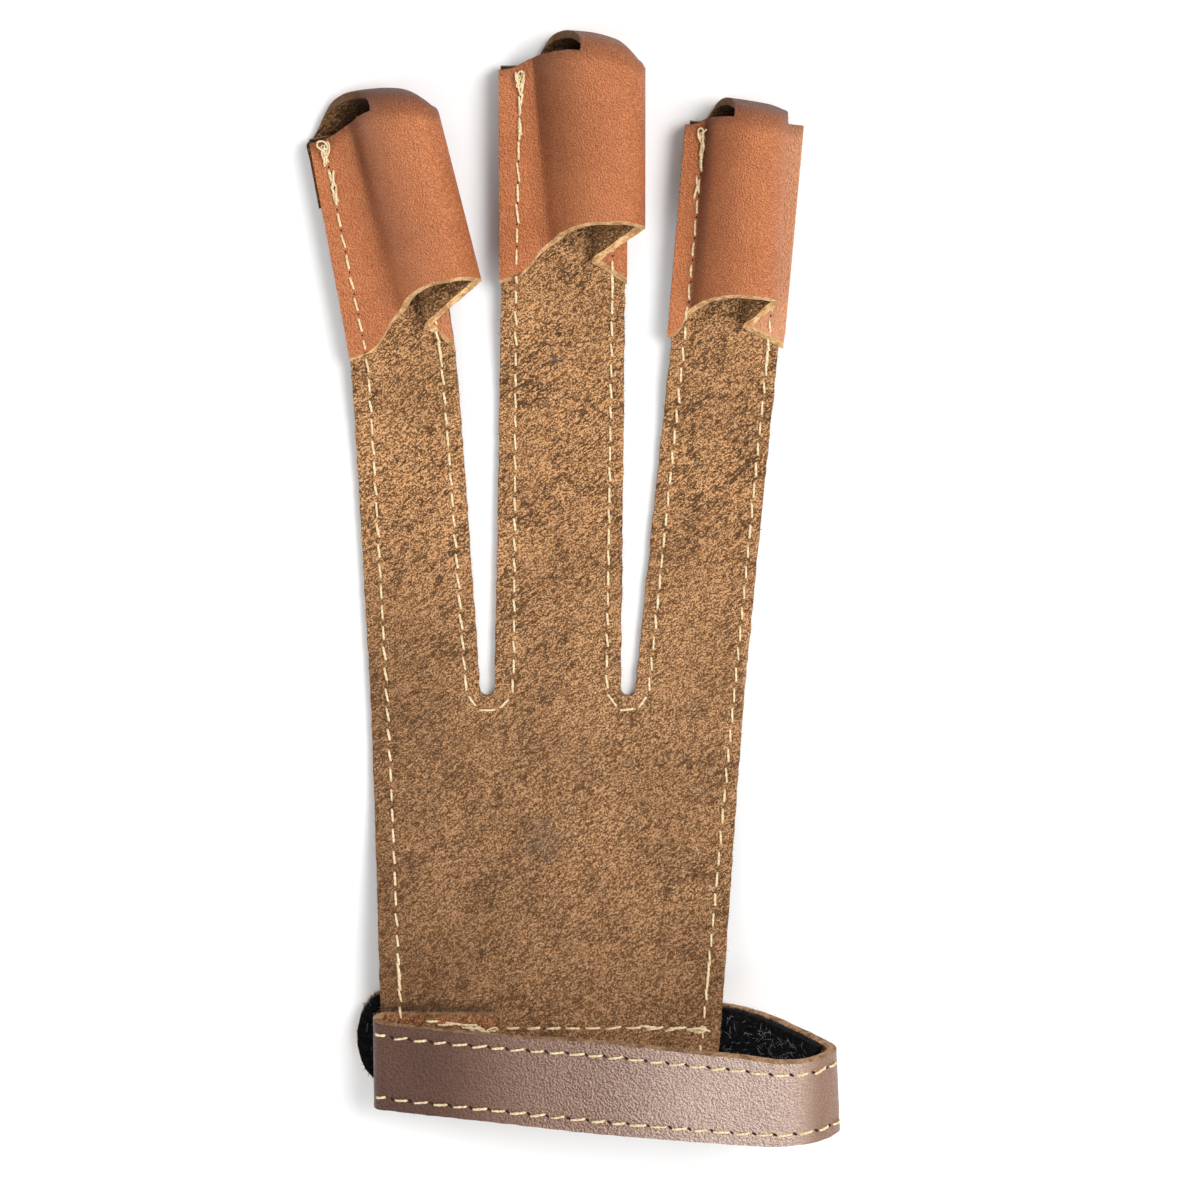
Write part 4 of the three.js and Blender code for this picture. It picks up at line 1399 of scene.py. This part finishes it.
tackLoops = {
    "left": [[(-0.3, -2.5, 0.2), (0.5, -1.0, 0.8), (1.9, 0.6, 1.0), (1.5, 1.6, 0.8), (-0.4, 1.3, 0.7),
              (-1.0, 0.0, 0.7), (-0.3, -1.6, 0.5), (0.4, -4.6, 0.4)],
             [(0.2, -3.0, 0.3), (-1.2, -1.4, 0.9), (-1.6, 0.6, 0.7), (-1.1, 1.2, 0.4)]],
    "firstSlot": [[(0.2, -3.5, 0.2), (-0.9, -1.0, 0.9), (-1.1, 0.8, 0.8), (0.0, 1.2, 0.7), (0.8, 0.3, 0.7),
                   (0.6, -2.0, 0.5), (-0.2, -5.0, 0.4)],
                  [(0.3, -2.6, 0.4), (1.2, -0.8, 0.8), (1.3, 0.9, 0.3)]],
    "secondSlot": [[(0.0, -3.0, 0.2), (0.8, -1.2, 0.8), (0.9, 0.7, 0.7), (-0.2, 0.9, 0.6), (-0.7, -0.6, 0.6),
                    (-0.3, -3.2, 0.4)],
                   [(0.2, -1.8, 0.3), (-0.9, 0.0, 0.8), (-1.6, 0.9, 0.4)]],
}
for name, loops in tackLoops.items():
    backTack(stallBag, topSeams[name], 3, loops)
backTack(panelBag, topSeams["patch"], 3,
         [[(0.0, -5.0, 0.2), (0.6, -2.0, 0.8), (0.1, 0.4, 0.6), (-0.5, 1.4, 0.3)]])
startHoles = [hole for hole in topSeams["patch"] if hole and hole[0].x < inFrame(Vector((startCut, 0, 0))).x]
backTack(panelBag, startHoles, 2, [
    [(-0.6, -3.0, 0.3), (0.3, -1.0, 0.9), (-0.4, 0.5, 0.8), (1.1, 1.9, 1.0), (1.9, 3.4, 0.8),
     (1.2, 4.2, 0.5)],
    [(0.5, -2.0, 0.4), (-0.7, 0.4, 0.9), (0.2, 1.6, 0.9), (-1.3, 2.6, 0.4)]])
makePieceOf(panelBag, "panel_stitches", "thread", "thread")
makePieceOf(underBag, "panel_stitches_back", "thread", "thread")
makePieceOf(stallBag, "stall_thread_ends", "thread", "thread")
makePieceOf(strapBag, "strap_stitches", "thread", "thread")
tapeBag = newBag()
for holes in tapeSeams.values():
    sewSeam(tapeBag, holes, slant=4, raised=-0.1, longer=0.85)
makePieceOf(tapeBag, "tape_stitches", "hooks", "hook_tape")


slits = {"strap": (0.95, 0.32, -24), "stall": (0.30, 0.17, -20), "sink": 0.12}  # length, width, slant


# Needle hole: a small slit in the grain leather, its darkness painted shade in the hole
def addHole(bag, spot, normal, along, length, width, slant):
    along, across = turnPair(along, normal.cross(along).normalized(), slant)
    first = len(bag["corners"])
    rings = ((0.0, -0.02), (0.55, 0.0), (1.0, -0.10))
    bag["corners"].append(spot + normal * 0.02 * mm)
    for size, height in rings[1:]:
        for side in range(10):
            angle = 2 * math.pi * side / 10
            bag["corners"].append(spot + (along * math.cos(angle) * length * size
                                          + across * math.sin(angle) * width * size + normal * height) * mm)
    for side in range(10):
        after = (side + 1) % 10
        bag["faces"].append((first, first + 1 + side, first + 1 + after))
        bag["faces"].append((first + 1 + side, first + 11 + side, first + 11 + after, first + 1 + after))
    bag["faces"].append(tuple(first + 11 + side for side in reversed(range(10))))


def markHoles(seams, size, name, slot):
    bag = newBag()
    for holes in seams:
        for i in range(1, len(holes) - 1):
            if None in holes[i - 1:i + 2]:
                continue
            along = (holes[i + 1][0] - holes[i - 1][0]).normalized()
            spot, normal = holes[i]
            addHole(bag, spot - normal * slits["sink"] * mm, normal, along, *size)
    makePieceOf(bag, name, "hole", slot)


markHoles(strapSeams.values(), slits["strap"], "strap_needle_holes", "strap_leather")
stallSurface = surfaceOf(*stallPieces)


def onStall(hole):
    return hole if hole and stallSurface.find_nearest(hole[0], 0.5 * mm)[0] else None


stallHoles = [[onStall(hole) for hole in topSeams[name]] for name in underSeams]
markHoles(stallHoles, slits["stall"], "stall_needle_holes", "stall_leather")


print("fibres and lint")


def bandSpot(grid, thickness, rowShare, columnShare, face):
    rows, columns = len(grid) - 1, len(grid[0]) - 1
    row = min(max(int(rowShare * rows), 1), rows - 1)
    column = min(int(columnShare * columns), columns - 1)
    spot = grid[row][column].lerp(grid[row][column + 1], columnShare * columns - column)
    along = (grid[row + 1][column] - grid[row - 1][column]).normalized()
    normal, across = bandNormal(grid[row], along, face)
    return inFrame(spot + normal * thickness / 2), normal, along, across


hookBag, lintBag, napBag = newBag(), newBag(), newBag()
hooks = {"alongRows": 84, "acrossRows": 15, "height": 0.9, "radius": 0.09, "edge": 1500, "edgeRadius": 0.07}
lint = {"count": 520, "radius": 0.032}
napFibres = {"panel": (1500, 0.75, 0.9), "strap": (700, 0.7, 0.9), "start": (420, 0.9, 1.2, 0.035),
             "stall": (160, 0.5, 0.9)}  # count, length, raggedness and radius
for i in range(hooks["alongRows"]):
    for j in range(hooks["acrossRows"]):
        rowShare = (i + 0.5 + random.uniform(-0.3, 0.3)) / hooks["alongRows"] * 0.97 + 0.01
        columnShare = (j + 0.5 + random.uniform(-0.3, 0.3)) / hooks["acrossRows"] * 0.94 + 0.03
        spot, normal, along, across = bandSpot(tapeGrid, leather["tape"], rowShare, columnShare, -1)
        lean = (normal + along * random.uniform(-0.5, 0.5) + across * random.uniform(-0.5, 0.5)).normalized()
        addHair(hookBag, spot, lean, hooks["height"] * random.uniform(0.6, 1.2), hooks["radius"], 0.6)
for i in range(hooks["edge"]):
    columnShare = random.choice((0.005, 0.995))
    rowShare = random.uniform(0.002, 0.99) if i % 5 else random.uniform(0.0, 0.012)
    spot, normal, along, across = bandSpot(tapeGrid, leather["tape"], rowShare,
                                           random.random() if rowShare < 0.012 else columnShare, -1)
    outward = across * (1 if columnShare > 0.5 else -1)
    spot -= normal * random.uniform(0, leather["tape"]) * mm
    lean = (outward * random.uniform(0.2, 1.0) - normal * random.uniform(0.0, 0.9)
            + along * random.uniform(-0.6, 0.6)).normalized()
    addHair(hookBag, spot, lean, random.uniform(0.5, 1.3), hooks["edgeRadius"], 0.5)
makePieceOf(hookBag, "tape_hooks", "hooks", "hook_tape")
for i in range(lint["count"]):
    rowShare = random.uniform(0.0, 0.40) if i % 4 else random.uniform(0.40, 0.98)
    columnShare = random.uniform(0.04, 0.96)
    spot, normal, along, across = bandSpot(tapeGrid, leather["tape"], rowShare, columnShare, -1)
    lean = (along * random.uniform(-1, 1) + across * random.uniform(-1, 1) + normal * 0.25).normalized()
    spot += normal * random.uniform(0.5, 0.95) * mm
    addHair(lintBag, spot, lean, random.uniform(0.4, 2.0), lint["radius"], 0.8)
makePieceOf(lintBag, "tape_lint", "lint", "thread")


# Short fibres that stand off the cut edges and the nap
def edgeFibres(bag, piece, count, length, ragged, radius=0.03, keep=lambda spot: True):
    rims = [face for face in piece.data.polygons if face.material_index == 2 and keep(face.center)]
    for _ in range(count if rims else 0):
        face = random.choice(rims)
        spot = face.center + face.normal * -0.05 * mm
        lean = (face.normal + Vector([random.uniform(-ragged, ragged) for _ in range(3)])).normalized()
        if spot.z < 1.6 * mm:
            lean.z = abs(lean.z)
        addHair(bag, spot, lean, length * random.uniform(0.4, 1.2), radius, length * 0.4)


edgeFibres(napBag, panelPiece, *napFibres["panel"])
edgeFibres(napBag, strapPiece, *napFibres["strap"])
startRim = inFrame(Vector((startCut + 1, strapMiddle + 9, startLevel + leather["strap"])))
edgeFibres(napBag, strapPiece, *napFibres["start"],
           lambda spot: spot.x < startRim.x and spot.y > startRim.y and spot.z < startRim.z)
for piece in stallPieces:
    edgeFibres(napBag, piece, *napFibres["stall"])
makePieceOf(napBag, "edge_fibres", "nap", "panel_suede")


print("floor, light and camera")
bpy.ops.object.select_all(action="DESELECT")
bpy.ops.mesh.primitive_plane_add(size=6, location=(0, 0, -0.0003))
floor = bpy.context.object
floor.name = "floor"
floorSkin, _, floorSurface, _ = startMaterial("floor_white", 0.9, 0.1)
floorSurface.inputs["Base Color"].default_value = (0.9, 0.9, 0.9, 1)
floor.data.materials.append(floorSkin)

# Lamps of the studio: place, aim, size in metres, power in watts
lamps = {
    "key": ((0.62, 0.32, 0.92), (0, 0, 0), 0.65, 13.0),
    "fill": ((-0.75, -0.35, 0.75), (0, 0, 0), 0.9, 5.0),
    "low": ((0.25, -0.95, 0.55), (0, -0.08, 0.01), 0.5, 2.5),
}
for name, (place, aim, size, power) in lamps.items():
    bpy.ops.object.light_add(type="AREA", location=place)
    lamp = bpy.context.object
    lamp.name = name
    lamp.data.shape = "SQUARE"
    lamp.data.size = size
    lamp.data.energy = power
    lamp.rotation_euler = (Vector(aim) - Vector(place)).to_track_quat("-Z", "Y").to_euler()
world = bpy.data.worlds.new("studio")
world.use_nodes = True
world.node_tree.nodes["Background"].inputs["Color"].default_value = (1, 1, 1, 1)
world.node_tree.nodes["Background"].inputs["Strength"].default_value = 0.46
bpy.context.scene.world = world
bpy.context.scene.view_settings.view_transform = "Standard"

camera = {"tilt": 12, "distance": 0.9, "width": 0.258, "target": (5.162, -5.027, 3.0)}
tilt = math.radians(camera["tilt"])
target = Vector(camera["target"]) * mm
lensData = bpy.data.cameras.new("camera")
lensData.sensor_width = 36
lensData.lens = 36 * camera["distance"] / camera["width"]
lensData.clip_start = 0.05
cameraPiece = bpy.data.objects.new("camera", lensData)
bpy.context.scene.collection.objects.link(cameraPiece)
toCamera = Vector((0, math.sin(tilt), math.cos(tilt)))
cameraPiece.location = target + toCamera * camera["distance"]
cameraPiece.rotation_euler = (-tilt, 0, 0)
bpy.context.scene.camera = cameraPiece
